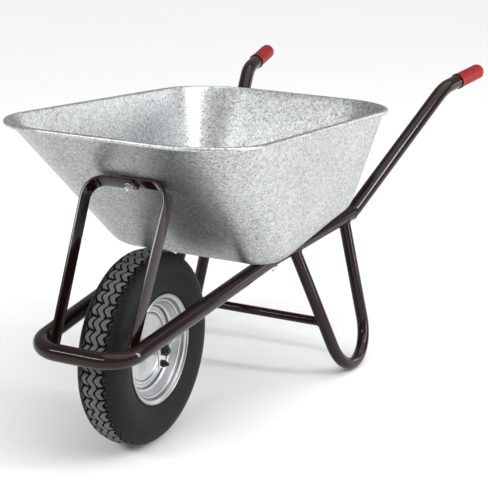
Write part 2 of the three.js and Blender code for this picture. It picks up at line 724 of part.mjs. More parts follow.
// Inner tube: a hollow ring that fills the tyre, open only where its valve enters.
const INNER_TUBE = { middleR: 150, halfHeight: 33, halfWidth: 34, wall: 2.5, sides: 8 };
const ringProfile = (inset) => Array.from({ length: INNER_TUBE.sides + 1 }, (_, i) => {
  const angle = (2 * Math.PI * i) / INNER_TUBE.sides;
  return [
    INNER_TUBE.middleR + (INNER_TUBE.halfHeight - inset) * Math.cos(angle),
    (INNER_TUBE.halfWidth - inset) * Math.sin(angle),
  ];
});
const innerTube = () => cut(
  turned(ringProfile(0), WHEEL_SIDES),
  turned(ringProfile(INNER_TUBE.wall), WHEEL_SIDES),
  pin(VALVE_R + GAP, valveAt(RIM_FLANGE_R), valveAt(INNER_TUBE.middleR)),
);

// Rim half: flange, sloping bead seat, a step, then a disc that is flat out to the hub.
const rimHalf = () => {
  const face = [
    [RIM_FLANGE_R, RIM_FLANGE_X], [RIM_FLANGE_R - 1.5, RIM_FLANGE_X + 1], [105, 35.5], [101.5, 30],
    [99.5, 27], [87.5, 9.5], [85.5, 7.2], [82, 7.2], [66, 2.2], [HUB_R + GAP, 2.2],
  ];
  const back = face.map(([r, x], i) => {
    const [r0, x0] = face[Math.max(i - 1, 0)];
    const [r1, x1] = face[Math.min(i + 1, face.length - 1)];
    const length = Math.hypot(r1 - r0, x1 - x0);
    const side = RIM_SHEET / length;
    return [i === face.length - 1 ? r : r - (x1 - x0) * side, x + (r1 - r0) * side];
  });
  return turned([...face, ...back.reverse(), face[0]], WHEEL_SIDES);
};

const rim = rimHalf();
const rimValveHole = pin(VALVE_R + 2 * GAP, valveAt(VALVE_STEM.from), valveAt(RIM_FLANGE_R));
add('tyre', tyre(), rubber());
add('inner_tube', innerTube(), rubber());
add('rim_half_left', cut(rim, rimValveHole), silverPaint());
add('rim_half_right', mirrorX(rim), silverPaint());
add('valve_stem', pin(VALVE_R, valveAt(VALVE_STEM.from), valveAt(VALVE_STEM.to)), rubber());
add('valve_cap', pin(VALVE_CAP.radius, valveAt(VALVE_CAP.from), valveAt(VALVE_CAP.to)), rubber());

const HUB_SIDES = 24;
const hubTube = () => turned([
  [HUB_BORE, -HUB_HALF], [HUB_R, -HUB_HALF], [HUB_R, HUB_HALF], [HUB_BORE, HUB_HALF], [HUB_BORE, -HUB_HALF],
], HUB_SIDES);
add('hub_tube', hubTube(), silverPaint());

// Plain bush with a flange, pressed into each end of the hub.
const BUSH_INNER_END = 15;
const BUSH_FLANGE = 3;
const bush = () => {
  const bore = M12.radius + GAP;
  const outside = HUB_BORE - GAP;
  const flange = HUB_HALF + GAP;
  return turned([
    [bore, BUSH_INNER_END], [outside, BUSH_INNER_END], [outside, flange], [HUB_R, flange],
    [HUB_R, flange + BUSH_FLANGE], [bore, flange + BUSH_FLANGE], [bore, BUSH_INNER_END],
  ], HUB_SIDES);
};
addPair('axle_bush', bush(), nylon);

export default object;
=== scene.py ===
"""A builder's wheelbarrow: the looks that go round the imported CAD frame.

The wheel is at -Y, the grips at +Y, +Z is up and the pusher's left is at +X.
Sizes are written in millimetres, as on a drawing, and meshes are made in metres.
"""
import math

import bpy
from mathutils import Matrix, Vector, noise


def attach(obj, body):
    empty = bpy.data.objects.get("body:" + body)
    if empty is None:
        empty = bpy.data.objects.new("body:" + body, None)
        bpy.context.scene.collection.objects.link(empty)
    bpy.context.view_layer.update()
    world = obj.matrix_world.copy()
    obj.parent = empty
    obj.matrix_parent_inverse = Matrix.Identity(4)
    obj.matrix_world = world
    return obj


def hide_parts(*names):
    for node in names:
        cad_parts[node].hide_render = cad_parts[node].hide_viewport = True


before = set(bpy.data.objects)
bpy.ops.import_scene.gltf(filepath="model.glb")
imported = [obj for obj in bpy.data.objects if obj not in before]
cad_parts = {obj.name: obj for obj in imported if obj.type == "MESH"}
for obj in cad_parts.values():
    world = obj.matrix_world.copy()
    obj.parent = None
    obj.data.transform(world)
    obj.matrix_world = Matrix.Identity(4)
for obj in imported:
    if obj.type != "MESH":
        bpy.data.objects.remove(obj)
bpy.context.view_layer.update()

MM = 0.001

# ---- Driving dimensions, the same as the CAD's ----
AXLE_Y = -449.7
AXLE_Z = 200.0


def at(x, behind, z):
    """A point given by its distance from the middle, behind the axle and above the ground."""
    return Vector((x, AXLE_Y + behind, z))


TUBE_R = 17.0
HANDLE_R = 16.5
LEG_R = 13.45
BRACE_R = 10.0
TUBE_WALL = 1.75

FRONT_CORNER = at(101, -252.5, 268.7)
RAIL_BEND = at(121.7, 336, 303.2)
RAIL_END = at(168.9, 665.7, 327.8)
HANDLE_BEND = at(262.3, 995, 562.4)
HANDLE_END = at(290, 1164, 575.5)
FRONT_CORNER_BEND = 62.0
RAIL_BEND_RADIUS = 220.0
JOINT_BEND_RADIUS = 30.0
HANDLE_BEND_RADIUS = 100.0
JOINT_SETBACK = 10.0
SPIGOT_LENGTH = 62.0

LEG_FRONT_STATION = 421.0
LEG_REAR_STATION = 627.6
FOOT_X = 233.0
FOOT_FRONT_STATION = 476.4
FOOT_REAR_STATION = 624.4
FOOT_BEND = 80.0
BRACE_HEIGHT = 132.0

SHEET = 1.2
# Corners of the pan's rim and floor: distances behind the axle, half widths and heights.
RIM = dict(front=-149.4, rear=729, front_half=276, rear_half=260, front_z=666.8, rear_z=572, corner=148)
FLOOR = dict(front=198, rear=613.6, front_half=201, rear_half=203, front_z=326.8, rear_z=356.4, corner=70)
FLOOR_FILLET = 45.0
BEAD_R = 4.6
CURL_TURN = math.radians(290)

STRAP_WIDTH = 35.0
STRAP_THICKNESS = 5.0
STRUT_FOOT = at(84.2, -196, 256)
STRUT_TOP_X = 92.0
STRUT_TOP_Z = 556.0
STRUT_BEND = 38.0
STRUT_LAP = 13.5
GAP = 0.3

TYRE_R = 200.0
CROWN_FALL = 0.0066
# Radii and half widths of the rim's creases, in mm, where painted shade darkens the silver paint.
RIM_CREASES = [(103.0, 4.2), (97.0, 1.5), (84.5, 2.8), (70.0, 2.4)]

HUB_HALF = 33.0
HUB_R = 14.0
HUB_BORE = 11.5
AXLE_R = 6.0
BRACKET_X = 40.5
BRACKET_THICKNESS = 5.0
BRACKET_WIDTH = 25.0
BRACKET_FOOT_Z = 163.0
BRACKET_KNEE_Z = 219.0
BRACKET_STEP_X = 68.0
BRACKET_STEP_RISE = 4.0
BRACKET_BEND = 9.0
KEEPER_Z = 171.0
BOLT_R = 4.0
TINY = 1e-9
SADDLE_STATIONS = dict(front=345, rear=492)


# ---- Materials ----
# Places of the colour sockets on the Mix node, whose names aren't unique.
MIX_FACTOR = 0
MIX_A = 6
MIX_B = 7
MIX_RESULT = 2


class Nodes:
    """A short way to build a material's node tree."""

    def __init__(self, name):
        self.material = bpy.data.materials.new(name)
        self.material.use_nodes = True
        self.tree = self.material.node_tree
        self.shader = self.tree.nodes["Principled BSDF"]

    def plug(self, socket, value):
        """Links an output into a socket, or sets a constant on it."""
        if isinstance(value, bpy.types.NodeSocket):
            self.tree.links.new(value, socket)
        else:
            socket.default_value = value

    def add(self, kind, inputs=None, **settings):
        node = self.tree.nodes.new(kind)
        for key, value in settings.items():
            setattr(node, key, value)
        for key, value in (inputs or {}).items():
            self.plug(node.inputs[key], value)
        return node

    def place(self):
        return self.add("ShaderNodeTexCoord").outputs["Object"]

    def noise(self, scale, detail=3.0, roughness=0.55, vector=None):
        """A noise factor from 0 to 1."""
        inputs = {"Vector": vector or self.place(), "Scale": scale, "Detail": detail, "Roughness": roughness}
        return self.add("ShaderNodeTexNoise", inputs).outputs["Fac"]

    def cells(self, vector, scale, output, randomness=1.0):
        inputs = {"Vector": vector, "Scale": scale, "Randomness": randomness}
        return self.add("ShaderNodeTexVoronoi", inputs).outputs[output]

    def ramp(self, factor, *stops):
        """Colours at (position, colour) stops along a factor."""
        node = self.add("ShaderNodeValToRGB", {"Fac": factor})
        elements = node.color_ramp.elements
        while len(elements) < len(stops):
            elements.new(0.5)
        for element, (position, color) in zip(elements, stops):
            element.position = position
            element.color = (*color, 1)
        return node.outputs["Color"]

    def span(self, factor, low, high, start=0.0, end=1.0):
        """Low to high as the factor goes from start to end."""
        inputs = {"Value": factor, "From Min": start, "From Max": end, "To Min": low, "To Max": high}
        return self.add("ShaderNodeMapRange", inputs).outputs["Result"]

    def mix(self, factor, a, b):
        """Blends from colour a to colour b."""
        node = self.add("ShaderNodeMix", data_type="RGBA")
        for index, value in ((MIX_FACTOR, factor), (MIX_A, a), (MIX_B, b)):
            self.plug(node.inputs[index], (*value, 1) if isinstance(value, tuple) else value)
        return node.outputs[MIX_RESULT]

    def math(self, operation, a, b=0.0):
        node = self.add("ShaderNodeMath", operation=operation)
        self.plug(node.inputs[0], a)
        self.plug(node.inputs[1], b)
        return node.outputs[0]

    def blend(self, *terms):
        """The sum of (value, weight) terms."""
        total = 0.0
        for value, weight in terms:
            total = self.math("ADD", self.math("MULTIPLY", value, weight), total)
        return total

    def bump(self, height, distance, strength=1.0):
        inputs = {"Height": height, "Distance": distance, "Strength": strength}
        return self.add("ShaderNodeBump", inputs).outputs["Normal"]

    def surface(self, **sockets):
        for key, value in sockets.items():
            self.plug(self.shader.inputs[key.replace("_", " ")], value)
        return self.material


def galvanised_steel():
    """Hot-dip zinc: fine crystals that differ in tone and gloss, with a faint cloudy bloom."""
    n = Nodes("galvanised_steel")
    place = n.place()
    waver = n.add("ShaderNodeTexNoise", {"Vector": place, "Scale": 60.0, "Detail": 3.0, "Roughness": 0.55})
    wander = n.mix(0.003, place, waver.outputs["Color"])
    crystals = n.cells(wander, 430.0, "Color")
    flakes = n.cells(wander, 230.0, "Color")
    cloud = n.noise(5, 4.0, 0.6, place)
    grain = n.noise(520, 2.0, 0.6, place)
    tone = n.blend((crystals, 0.5), (flakes, 0.3), (cloud, 0.2))
    color = n.ramp(
        tone, (0.22, (0.20, 0.21, 0.215)), (0.45, (0.45, 0.465, 0.47)), (0.8, (0.72, 0.735, 0.745)))
    rough = n.span(n.blend((tone, 0.7), (grain, 0.3)), 0.28, 0.46)
    bump = n.bump(n.blend((crystals, 0.6), (grain, 1.0)), 0.00014, 0.6)
    return n.surface(Base_Color=color, Metallic=0.95, Roughness=rough, Normal=bump)


def frame_paint():
    """Glossy chocolate-brown enamel with faint orange peel and a little dust."""
    n = Nodes("frame_paint")
    place = n.place()
    cloud = n.noise(14, 4.0, 0.6, place)
    peel = n.noise(330, 2.0, 0.5, place)
    dust = n.noise(60, 6.0, 0.7, place)
    color = n.ramp(cloud, (0.3, (0.0085, 0.0026, 0.0021)), (0.7, (0.0150, 0.0052, 0.0042)))
    rough = n.span(dust, 0.07, 0.15, 0.35, 0.75)
    bump = n.bump(peel, 0.00010, 0.3)
    return n.surface(Base_Color=color, Roughness=rough, Specular_IOR_Level=0.28, Normal=bump)


def zinc_plate():
    """Bright zinc on the small fasteners and the axle's brackets."""
    n = Nodes("zinc_plate")
    place = n.place()
    fine = n.noise(900, 2.0, 0.6, place)
    cloud = n.noise(160, 4.0, 0.6, place)
    color = n.ramp(cloud, (0.3, (0.62, 0.62, 0.60)), (0.7, (0.80, 0.80, 0.79)))
    rough = n.span(fine, 0.18, 0.34)
    return n.surface(Base_Color=color, Metallic=1.0, Roughness=rough, Normal=n.bump(fine, 0.00004, 0.4))


def black_steel():
    """Blackened steel: satin, slightly mottled."""
    n = Nodes("black_steel")
    place = n.place()
    fine = n.noise(700, 2.0, 0.6, place)
    cloud = n.noise(120, 4.0, 0.6, place)
    color = n.ramp(cloud, (0.3, (0.012, 0.012, 0.013)), (0.75, (0.035, 0.034, 0.034)))
    rough = n.span(fine, 0.32, 0.5)
    return n.surface(Base_Color=color, Metallic=0.6, Roughness=rough, Normal=n.bump(fine, 0.00005, 0.4))


def silver_paint():
    """Silver wheel lacquer with a fine metallic fleck, and painted shade that darkens the rim's creases."""
    n = Nodes("silver_paint")
    place = n.place()
    fleck = n.noise(1500, 1.0, 0.5, place)
    cloud = n.noise(25, 4.0, 0.6, place)
    tone = n.blend((fleck, 0.5), (cloud, 0.5))
    color = n.ramp(tone, (0.3, (0.42, 0.44, 0.45)), (0.7, (0.60, 0.62, 0.63)))
    radius, _ = wheel_radius_and_x(n, place)
    # Painted shade: a near-black ring is mixed in at each crease of the rim, where shade falls.
    for crease, half_width in RIM_CREASES:
        off = n.math("ABSOLUTE", n.math("SUBTRACT", radius, crease * MM))
        crease_shade = n.span(off, 0.85, 0.0, 0.0, half_width * MM)
        color = n.mix(crease_shade, color, (0.045, 0.045, 0.045))
    rough = n.span(cloud, 0.26, 0.40)
    return n.surface(Base_Color=color, Metallic=0.45, Roughness=rough, Normal=n.bump(fleck, 0.00003, 0.3))


def wheel_radius_and_x(n, place):
    """Distance from the wheel's axis, and place along it."""
    split = n.add("ShaderNodeSeparateXYZ", {"Vector": place}).outputs
    y = n.math("SUBTRACT", split["Y"], AXLE_Y * MM)
    z = n.math("SUBTRACT", split["Z"], AXLE_Z * MM)
    return n.math("SQRT", n.blend((y, y), (z, z))), split["X"]


def tyre_rubber():
    """Black rubber: dusty grey tops of the tread, clean and dark in its grooves and on the walls."""
    n = Nodes("tyre_rubber")
    place = n.place()
    radius, x = wheel_radius_and_x(n, place)
    crown = n.math("SUBTRACT", TYRE_R * MM, n.math("MULTIPLY", n.math("MULTIPLY", x, x), CROWN_FALL / MM))
    depth = n.math("SUBTRACT", crown, radius)
    cloud = n.noise(22, 5.0, 0.65, place)
    fine = n.noise(500, 3.0, 0.6, place)
    top = n.span(depth, 1.0, 0.0, 0.7 * MM, 2.2 * MM)
    worn = n.span(n.math("ABSOLUTE", x), 1.0, 0.0, 20 * MM, 27 * MM)
    dust = n.math("MULTIPLY", n.math("MULTIPLY", top, worn), n.span(cloud, 0.6, 1.0, 0.3, 0.7))
    color = n.ramp(cloud, (0.3, (0.0030, 0.0032, 0.0034)), (0.72, (0.0072, 0.0075, 0.0078)))
    color = n.mix(dust, color, (0.135, 0.138, 0.138))
    bump = n.bump(n.math("ADD", cloud, fine), 0.00015, 0.5)
    return n.surface(Base_Color=color, Roughness=n.span(fine, 0.5, 0.7), Specular_IOR_Level=0.2, Normal=bump)


def smooth_rubber():
    """Butyl rubber of the inner tube and valve."""
    n = Nodes("smooth_rubber")
    fine = n.noise(600, 2.0, 0.6)
    color = n.ramp(fine, (0.3, (0.012, 0.012, 0.012)), (0.7, (0.022, 0.022, 0.022)))
    return n.surface(Base_Color=color, Roughness=n.span(fine, 0.38, 0.5), Normal=n.bump(fine, 0.00004, 0.4))


def grip_plastic():
    """Red moulded plastic, finely knurled, with painted shade a little darker between the knurls."""
    n = Nodes("grip_plastic")
    place = n.place()
    grain = n.noise(1100, 2.0, 0.6, place)
    cloud = n.noise(30, 4.0, 0.6, place)
    color = n.ramp(cloud, (0.3, (0.235, 0.006, 0.009)), (0.7, (0.30, 0.010, 0.014)))
    knurl = n.cells(place, 380.0, "Distance", 0.35)
    # Painted shade: the red darkens towards the knurl cells' edges, which the bump sets as hollows.
    color = n.mix(n.span(knurl, 0.0, 0.5, 0.3, 0.7), color, (0.16, 0.004, 0.006))
    rough = n.span(grain, 0.42, 0.58)
    bump = n.bump(knurl, -0.0004, 0.8)
    return n.surface(Base_Color=color, Roughness=rough, Specular_IOR_Level=0.18, Normal=bump)


def bush_nylon():
    """Natural nylon of the axle bushes."""
    n = Nodes("bush_nylon")
    cloud = n.noise(200, 3.0, 0.6)
    color = n.ramp(cloud, (0.3, (0.62, 0.60, 0.54)), (0.7, (0.72, 0.70, 0.65)))
    return n.surface(Base_Color=color, Roughness=n.span(cloud, 0.4, 0.5))


GALVANISED = galvanised_steel()
PAINT = frame_paint()
ZINC = zinc_plate()
BLACK = black_steel()
SILVER = silver_paint()
TYRE = tyre_rubber()
TUBE_RUBBER = smooth_rubber()
GRIP = grip_plastic()
NYLON = bush_nylon()


# ---- Meshes ----
# Faces that meet more sharply than this, in degrees, keep a hard edge.
CREASE = 35


def piece(name, verts, faces, material, body="frame", stands_for=(), crease=CREASE):
    """An object from points in millimetres, on a body of the frame."""
    mesh = bpy.data.meshes.new(name)
    mesh.from_pydata([v * MM for v in verts], [], faces)
    mesh.validate()
    mesh.materials.append(material)
    mesh.shade_smooth()
    mesh.set_sharp_from_angle(angle=math.radians(crease))
    obj = bpy.data.objects.new(name, mesh)
    bpy.context.scene.collection.objects.link(obj)
    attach(obj, body)
    if stands_for:
        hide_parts(*stands_for)


def loft(rings, closed=False):
    """Side faces through rings of equal length; the last ring joins the first when closed."""
    verts = [p for ring in rings for p in ring]
    sides = len(rings[0])
    count = len(rings)
    faces = []
    for r in range(count if closed else count - 1):
        a, b = r * sides, ((r + 1) % count) * sides
        for s in range(sides):
            t = (s + 1) % sides
            faces.append((a + s, a + t, b + t, b + s))
    if not closed:
        faces.append(tuple(range(sides))[::-1])
        faces.append(tuple(range((count - 1) * sides, count * sides)))
    return verts, faces


def joined(parts):
    """Several (verts, faces) pairs as one."""
    verts, faces = [], []
    for more_verts, more_faces in parts:
        base = len(verts)
        verts += more_verts
        faces += [tuple(i + base for i in face) for face in more_faces]
    return verts, faces


def mirror_point(p):
    return Vector((-p.x, p.y, p.z))


def mirrored(shape):
    """The mirror image of (verts, faces) in the barrow's middle plane."""
    verts, faces = shape
    return [mirror_point(v) for v in verts], [face[::-1] for face in faces]


def pair(name, shape, material, node=None, **options):
    """A left piece and its mirror image, which stand for CAD nodes unless they are extra."""
    for side, half in (("left", shape), ("right", mirrored(shape))):
        nodes = [f"{node}_{side}"] if node else []
        piece(f"{name}_{side}", *half, material, stands_for=nodes, **options)


def circle(radius, sides):
    """Points round a circle, as (across, up) pairs."""
    return [(radius * math.cos(2 * math.pi * i / sides), radius * math.sin(2 * math.pi * i / sides))
            for i in range(sides)]


def spokes(axis, sides):
    """Unit directions evenly round a unit axis."""
    side = axis.orthogonal().normalized()
    across = axis.cross(side)
    return [side * a + across * b for a, b in circle(1, sides)]


def rings_round(profile, origin, axis, sides):
    """Rings of points round an axis, one for each (radius, height) of a profile."""
    directions = spokes(axis, sides)
    return [[origin + axis * height + out * radius for out in directions] for radius, height in profile]


def solid_of_revolution(profile, origin, axis, sides):
    """A body whose profile runs from end to end, each end closed by a flat face."""
    return loft(rings_round(profile, origin, axis, sides))


def ring_of_revolution(profile, origin, axis, sides):
    """A body round a bore, from a closed profile that keeps clear of the axis."""
    return loft(rings_round(profile, origin, axis, sides), closed=True)


ROUND_SIDES = 40
WASHER_EDGE = 0.3


def chamfered_ring(radius, height, bore, origin, axis, edge=WASHER_EDGE, sides=ROUND_SIDES):
    """A washer or sleeve with its edges taken off, standing on origin."""
    top = height - edge
    profile = [(bore, edge), (bore + edge, 0), (radius - edge, 0), (radius, edge),
               (radius, top), (radius - edge, height), (bore + edge, height), (bore, top)]
    return ring_of_revolution(profile, origin, axis, sides)


# ---- Paths ----
TURN_STEP = math.radians(2.5)
RUN_STEP = 30.0


def bent_path(corners, radii):
    """(point, tangent) stations along straight runs with rounded corners."""
    stations = []

    def run(start, end, tangent):
        steps = max(1, round((end - start).length / RUN_STEP))
        for k in range(steps + 1):
            stations.append((start.lerp(end, k / steps), tangent))

    start = corners[0]
    for i, radius in enumerate(radii, 1):
        into = (corners[i] - corners[i - 1]).normalized()
        out = (corners[i + 1] - corners[i]).normalized()
        turn = into.angle(out)
        cut = radius * math.tan(turn / 2)
        inward = (out - into * into.dot(out)).normalized()
        bend_start = corners[i] - into * cut
        run(start, bend_start, into)
        steps = max(2, round(turn / TURN_STEP))
        for k in range(1, steps):
            angle = turn * k / steps
            point = bend_start + into * radius * math.sin(angle) + inward * radius * (1 - math.cos(angle))
            stations.append((point, into * math.cos(angle) + inward * math.sin(angle)))
        start = corners[i] + out * cut
    run(start, corners[-1], (corners[-1] - corners[-2]).normalized())
    return stations


def swept_rings(stations, sections, first_side=None):
    """One ring of points at each station; sections gives each station's outline as (across, up) pairs."""
    side = first_side or stations[0][1].orthogonal().normalized()
    rings = []
    for (point, tangent), section in zip(stations, sections):
        side = (side - tangent * side.dot(tangent)).normalized()
        up = tangent.cross(side)
        rings.append([point + side * a + up * b for a, b in section])
    return rings


TUBE_SIDES = 40
MOUTH_EDGE = 0.35
MOUTH_DEPTH = 12.0


def round_sweep(marks):
    """A solid through round sections, each given as (centre, tangent, radius)."""
    stations = [(centre, tangent) for centre, tangent, _ in marks]
    return loft(swept_rings(stations, [circle(radius, TUBE_SIDES) for _, _, radius in marks]))


def tube_mouth(point, tangent, radius, outward):
    """Sections from inside an open end, over its wall, to its outer face."""
    bore = radius - TUBE_WALL
    steps = [(bore, MOUTH_DEPTH), (bore, MOUTH_EDGE), (bore + MOUTH_EDGE, 0), (radius - MOUTH_EDGE, 0),
             (radius, MOUTH_EDGE)]
    return [(point - tangent * outward * inset, tangent, r) for r, inset in steps]


def tube(stations, radius, open_ends=False):
    """A round tube; open ends show their wall and a short length of bore."""
    marks = [(point, tangent, radius) for point, tangent in stations]
    if open_ends:
        last = tube_mouth(*stations[-1], radius, 1)
        marks = tube_mouth(*stations[0], radius, -1) + marks[1:-1] + last[::-1]
    return round_sweep(marks)


def distance_to_path(point, stations):
    best = math.inf
    for (a, _), (b, _) in zip(stations, stations[1:]):
        line = b - a
        t = min(max((point - a).dot(line) / max(line.length_squared, TINY), 0), 1)
        best = min(best, (point - a - line * t).length)
    return best


REACH_LIMIT = 90.0
TOUCHING = 0.02
SHORTEST_STEP = 0.5


def reach(start, direction, stations, radius):
    """The first place along direction that touches a tube of that radius, or the nearest if none does."""
    travelled = 0.0
    nearest, best = math.inf, start
    while travelled < REACH_LIMIT and nearest > TOUCHING:
        point = start + direction * travelled
        clear = distance_to_path(point, stations) - radius
        if clear < nearest:
            nearest, best = clear, point
        travelled += max(clear, SHORTEST_STEP)
    return best


WELD_CREASE = 80
WELD_SETBACK = 60.0
SEAM_POINTS = 96
BEAD_SIDES = 10
LEG_BEAD = 2.4
BRACE_BEAD = 2.0
STRUT_BEAD = 2.6
RIPPLE_LENGTH = 2.3
RIPPLE_SHARE = 0.13
LUMP_SHARE = 0.25
LUMPS_PER_MM = 0.15
TAPER_RINGS = 4
TAPER_END = 0.15


def weld_bead(seam, direction, bead, closed=True):
    """A rippled bead along the points of a seam, thinned out to its ends when it is open."""
    count = len(seam)
    rings = []
    travelled = 0.0
    for i, point in enumerate(seam):
        before = seam[i - 1] if closed or i else point
        after = seam[(i + 1) % count] if closed or i < count - 1 else point
        along = (after - before).normalized()
        travelled += (point - before).length
        size = 1 + RIPPLE_SHARE * math.sin(2 * math.pi * travelled / RIPPLE_LENGTH)
        size += LUMP_SHARE * noise.noise(point * LUMPS_PER_MM)
        if not closed:
            size *= max(TAPER_END, min(1, i / TAPER_RINGS, (count - 1 - i) / TAPER_RINGS))
        side = along.cross(direction).normalized()
        up = along.cross(side)
        rings.append([point + side * a + up * b for a, b in circle(bead * size, BEAD_SIDES)])
    return loft(rings, closed=closed)


def weld(name, centre, direction, piece_radius, stations, radius, bead):
    """A rippled fillet weld where a round piece, followed along direction from centre, meets a tube."""
    seam = []
    for out in spokes(direction, SEAM_POINTS):
        seam.append(reach(centre + out * piece_radius, direction, stations, radius))
    piece(name, *weld_bead(seam, direction, bead), PAINT, crease=WELD_CREASE)


# ---- Frame tube, handles, grips ----
RAIL_DIRECTION = (RAIL_END - RAIL_BEND).normalized()
RAIL_TIP = RAIL_END - RAIL_DIRECTION * JOINT_SETBACK


def frame_path():
    left = [RAIL_TIP, RAIL_BEND, FRONT_CORNER]
    corners = left + [mirror_point(p) for p in reversed(left)]
    return bent_path(corners, [RAIL_BEND_RADIUS, FRONT_CORNER_BEND, FRONT_CORNER_BEND, RAIL_BEND_RADIUS])


FRAME_PATH = frame_path()


def rail_at(station):
    """The rail's centre at a distance behind the axle, on the left side."""
    y = AXLE_Y + station
    start, end = (FRONT_CORNER, RAIL_BEND) if y < RAIL_BEND.y else (RAIL_BEND, RAIL_END)
    return start.lerp(end, (y - start.y) / (end.y - start.y))


def build_frame_tube():
    piece("frame_tube_bent", *tube(FRAME_PATH, TUBE_R, open_ends=True), PAINT, stands_for=["frame_tube"])


COLLAR_LENGTH = 7.0
COLLAR_RISE = 1.1
COLLAR_RINGS = 7
COLLAR_START = 0.12
COLLAR_MARGIN = 0.5
SPIGOT_CHAMFER = 1.0
HANDLE_EDGE = 0.8


def station_at(stations, distance):
    """The (point, tangent) at a distance along a path."""
    for (a, along), (b, ahead) in zip(stations, stations[1:]):
        length = (b - a).length
        if distance <= length:
            share = distance / max(length, TINY)
            return a.lerp(b, share), along.lerp(ahead, share).normalized()
        distance -= length
    return stations[-1]


def collar_radius(share):
    """The rolled collar's half wave, which has begun at the joint and has run out at share 1."""
    wave = math.sin(math.pi * (COLLAR_START + (1 - COLLAR_START) * share))
    return HANDLE_R + (TUBE_R - HANDLE_R + COLLAR_RISE) * wave


def build_handles():
    """A handle tube with a rolled collar where it leaves the rail, and its drawn-down spigot."""
    mouth = RAIL_TIP + RAIL_DIRECTION * GAP
    path = bent_path([mouth, RAIL_END, HANDLE_BEND, HANDLE_END], [JOINT_BEND_RADIUS, HANDLE_BEND_RADIUS])
    spigot_r = TUBE_R - TUBE_WALL - GAP
    spigot = [(-SPIGOT_LENGTH, spigot_r - SPIGOT_CHAMFER), (SPIGOT_CHAMFER - SPIGOT_LENGTH, spigot_r),
              (0, spigot_r), (0, TUBE_R - HANDLE_EDGE)]
    marks = [(mouth + RAIL_DIRECTION * d, RAIL_DIRECTION, r) for d, r in spigot]
    for k in range(1, COLLAR_RINGS + 1):
        share = k / COLLAR_RINGS
        marks.append((*station_at(path, COLLAR_LENGTH * share), collar_radius(share)))
    travelled = 0.0
    for (before, _), (point, tangent) in zip(path, path[1:]):
        travelled += (point - before).length
        if travelled > COLLAR_LENGTH + COLLAR_MARGIN:
            marks.append((point, tangent, HANDLE_R))
    pair("handle_tube", round_sweep(marks), PAINT, "handle")


# Heights along a grip are counted from the end of its tube, towards the pusher.
GRIP_MOUTH = -106.0
GRIP_END = 3.6
GRIP_R = 18.2
GRIP_BORE_DEPTH = 12.0
GRIP_CHAMFER = 0.6
GRIP_DOME = 9.6
DOME_RINGS = 12
# The lip at the open end, as (radius over the barrel's, distance from the mouth).
GRIP_LIP = [(0.5, 0), (1.0, 0.6), (1.0, 3.4), (0.6, 4.4), (0.0, 5.4)]
# Rings along the straight barrel, which keep its shading even.
BARREL_STEP = 6.0
BARREL_RINGS = 14
TIP_R = 0.4
GRIP_SIDES = 64
GRIP_CREASE = 50


def build_grips():
    """A moulded sleeve: lip at its open end, plain barrel, domed closed end."""
    along = (HANDLE_END - HANDLE_BEND).normalized()
    bore = HANDLE_R + GAP
    profile = [(bore, GRIP_MOUTH + GRIP_BORE_DEPTH), (bore, GRIP_MOUTH + GRIP_CHAMFER),
               (bore + GRIP_LIP[0][0], GRIP_MOUTH)]
    profile += [(GRIP_R + rise, GRIP_MOUTH + height) for rise, height in GRIP_LIP]
    barrel = profile[-1][1]
    profile += [(GRIP_R, barrel + BARREL_STEP * k) for k in range(1, BARREL_RINGS + 1)]
    for k in range(1, DOME_RINGS + 1):
        angle = math.pi / 2 * k / DOME_RINGS
        radius = GRIP_R - GRIP_DOME + GRIP_DOME * math.cos(angle)
        profile.append((radius, GRIP_END - GRIP_DOME + GRIP_DOME * math.sin(angle)))
    profile.append((TIP_R, GRIP_END))
    shape = solid_of_revolution(profile, HANDLE_END, along, GRIP_SIDES)
    pair("moulded_grip", shape, GRIP, "grip", crease=GRIP_CREASE)


# ---- Legs and brace ----
def leg_path():
    corners = [
        rail_at(LEG_FRONT_STATION),
        at(FOOT_X, FOOT_FRONT_STATION, LEG_R),
        at(FOOT_X, FOOT_REAR_STATION, LEG_R),
        rail_at(LEG_REAR_STATION),
    ]
    return bent_path(corners, [FOOT_BEND, FOOT_BEND])


LEG_PATH = leg_path()
SIDES = (("left", 1), ("right", -1))


def on_side(sign, point):
    """A point or direction of the left side, or its mirror image."""
    return point if sign > 0 else mirror_point(point)


def build_legs():
    pair("leg_tube", tube(LEG_PATH, LEG_R), PAINT, "leg")
    for side, sign in SIDES:
        for end, index, upward in (("front", 0, -1), ("rear", -1, 1)):
            point, tangent = LEG_PATH[index]
            direction = on_side(sign, tangent * upward)
            centre = on_side(sign, point) - direction * WELD_SETBACK
            weld(f"leg_weld_{end}_{side}", centre, direction, LEG_R, FRAME_PATH, TUBE_R, LEG_BEAD)


def brace_end():
    top = rail_at(LEG_FRONT_STATION)
    foot = at(FOOT_X, FOOT_FRONT_STATION, LEG_R)
    return foot.lerp(top, (BRACE_HEIGHT - LEG_R) / (top.z - LEG_R))


def build_brace():
    end = brace_end()
    shape = tube(bent_path([mirror_point(end), end], []), BRACE_R)
    piece("leg_brace_tube", *shape, PAINT, stands_for=["leg_cross_brace"])
    for side, sign in SIDES:
        direction = Vector((sign, 0, 0))
        centre = on_side(sign, end) - direction * WELD_SETBACK
        leg = [(on_side(sign, point), on_side(sign, tangent)) for point, tangent in LEG_PATH]
        weld(f"brace_weld_{side}", centre, direction, BRACE_R, leg, LEG_R, BRACE_BEAD)


# ---- Pan ----
CORNER_STEPS = 16
SIDE_STEPS = 10
TIGHTEST_CORNER = 15


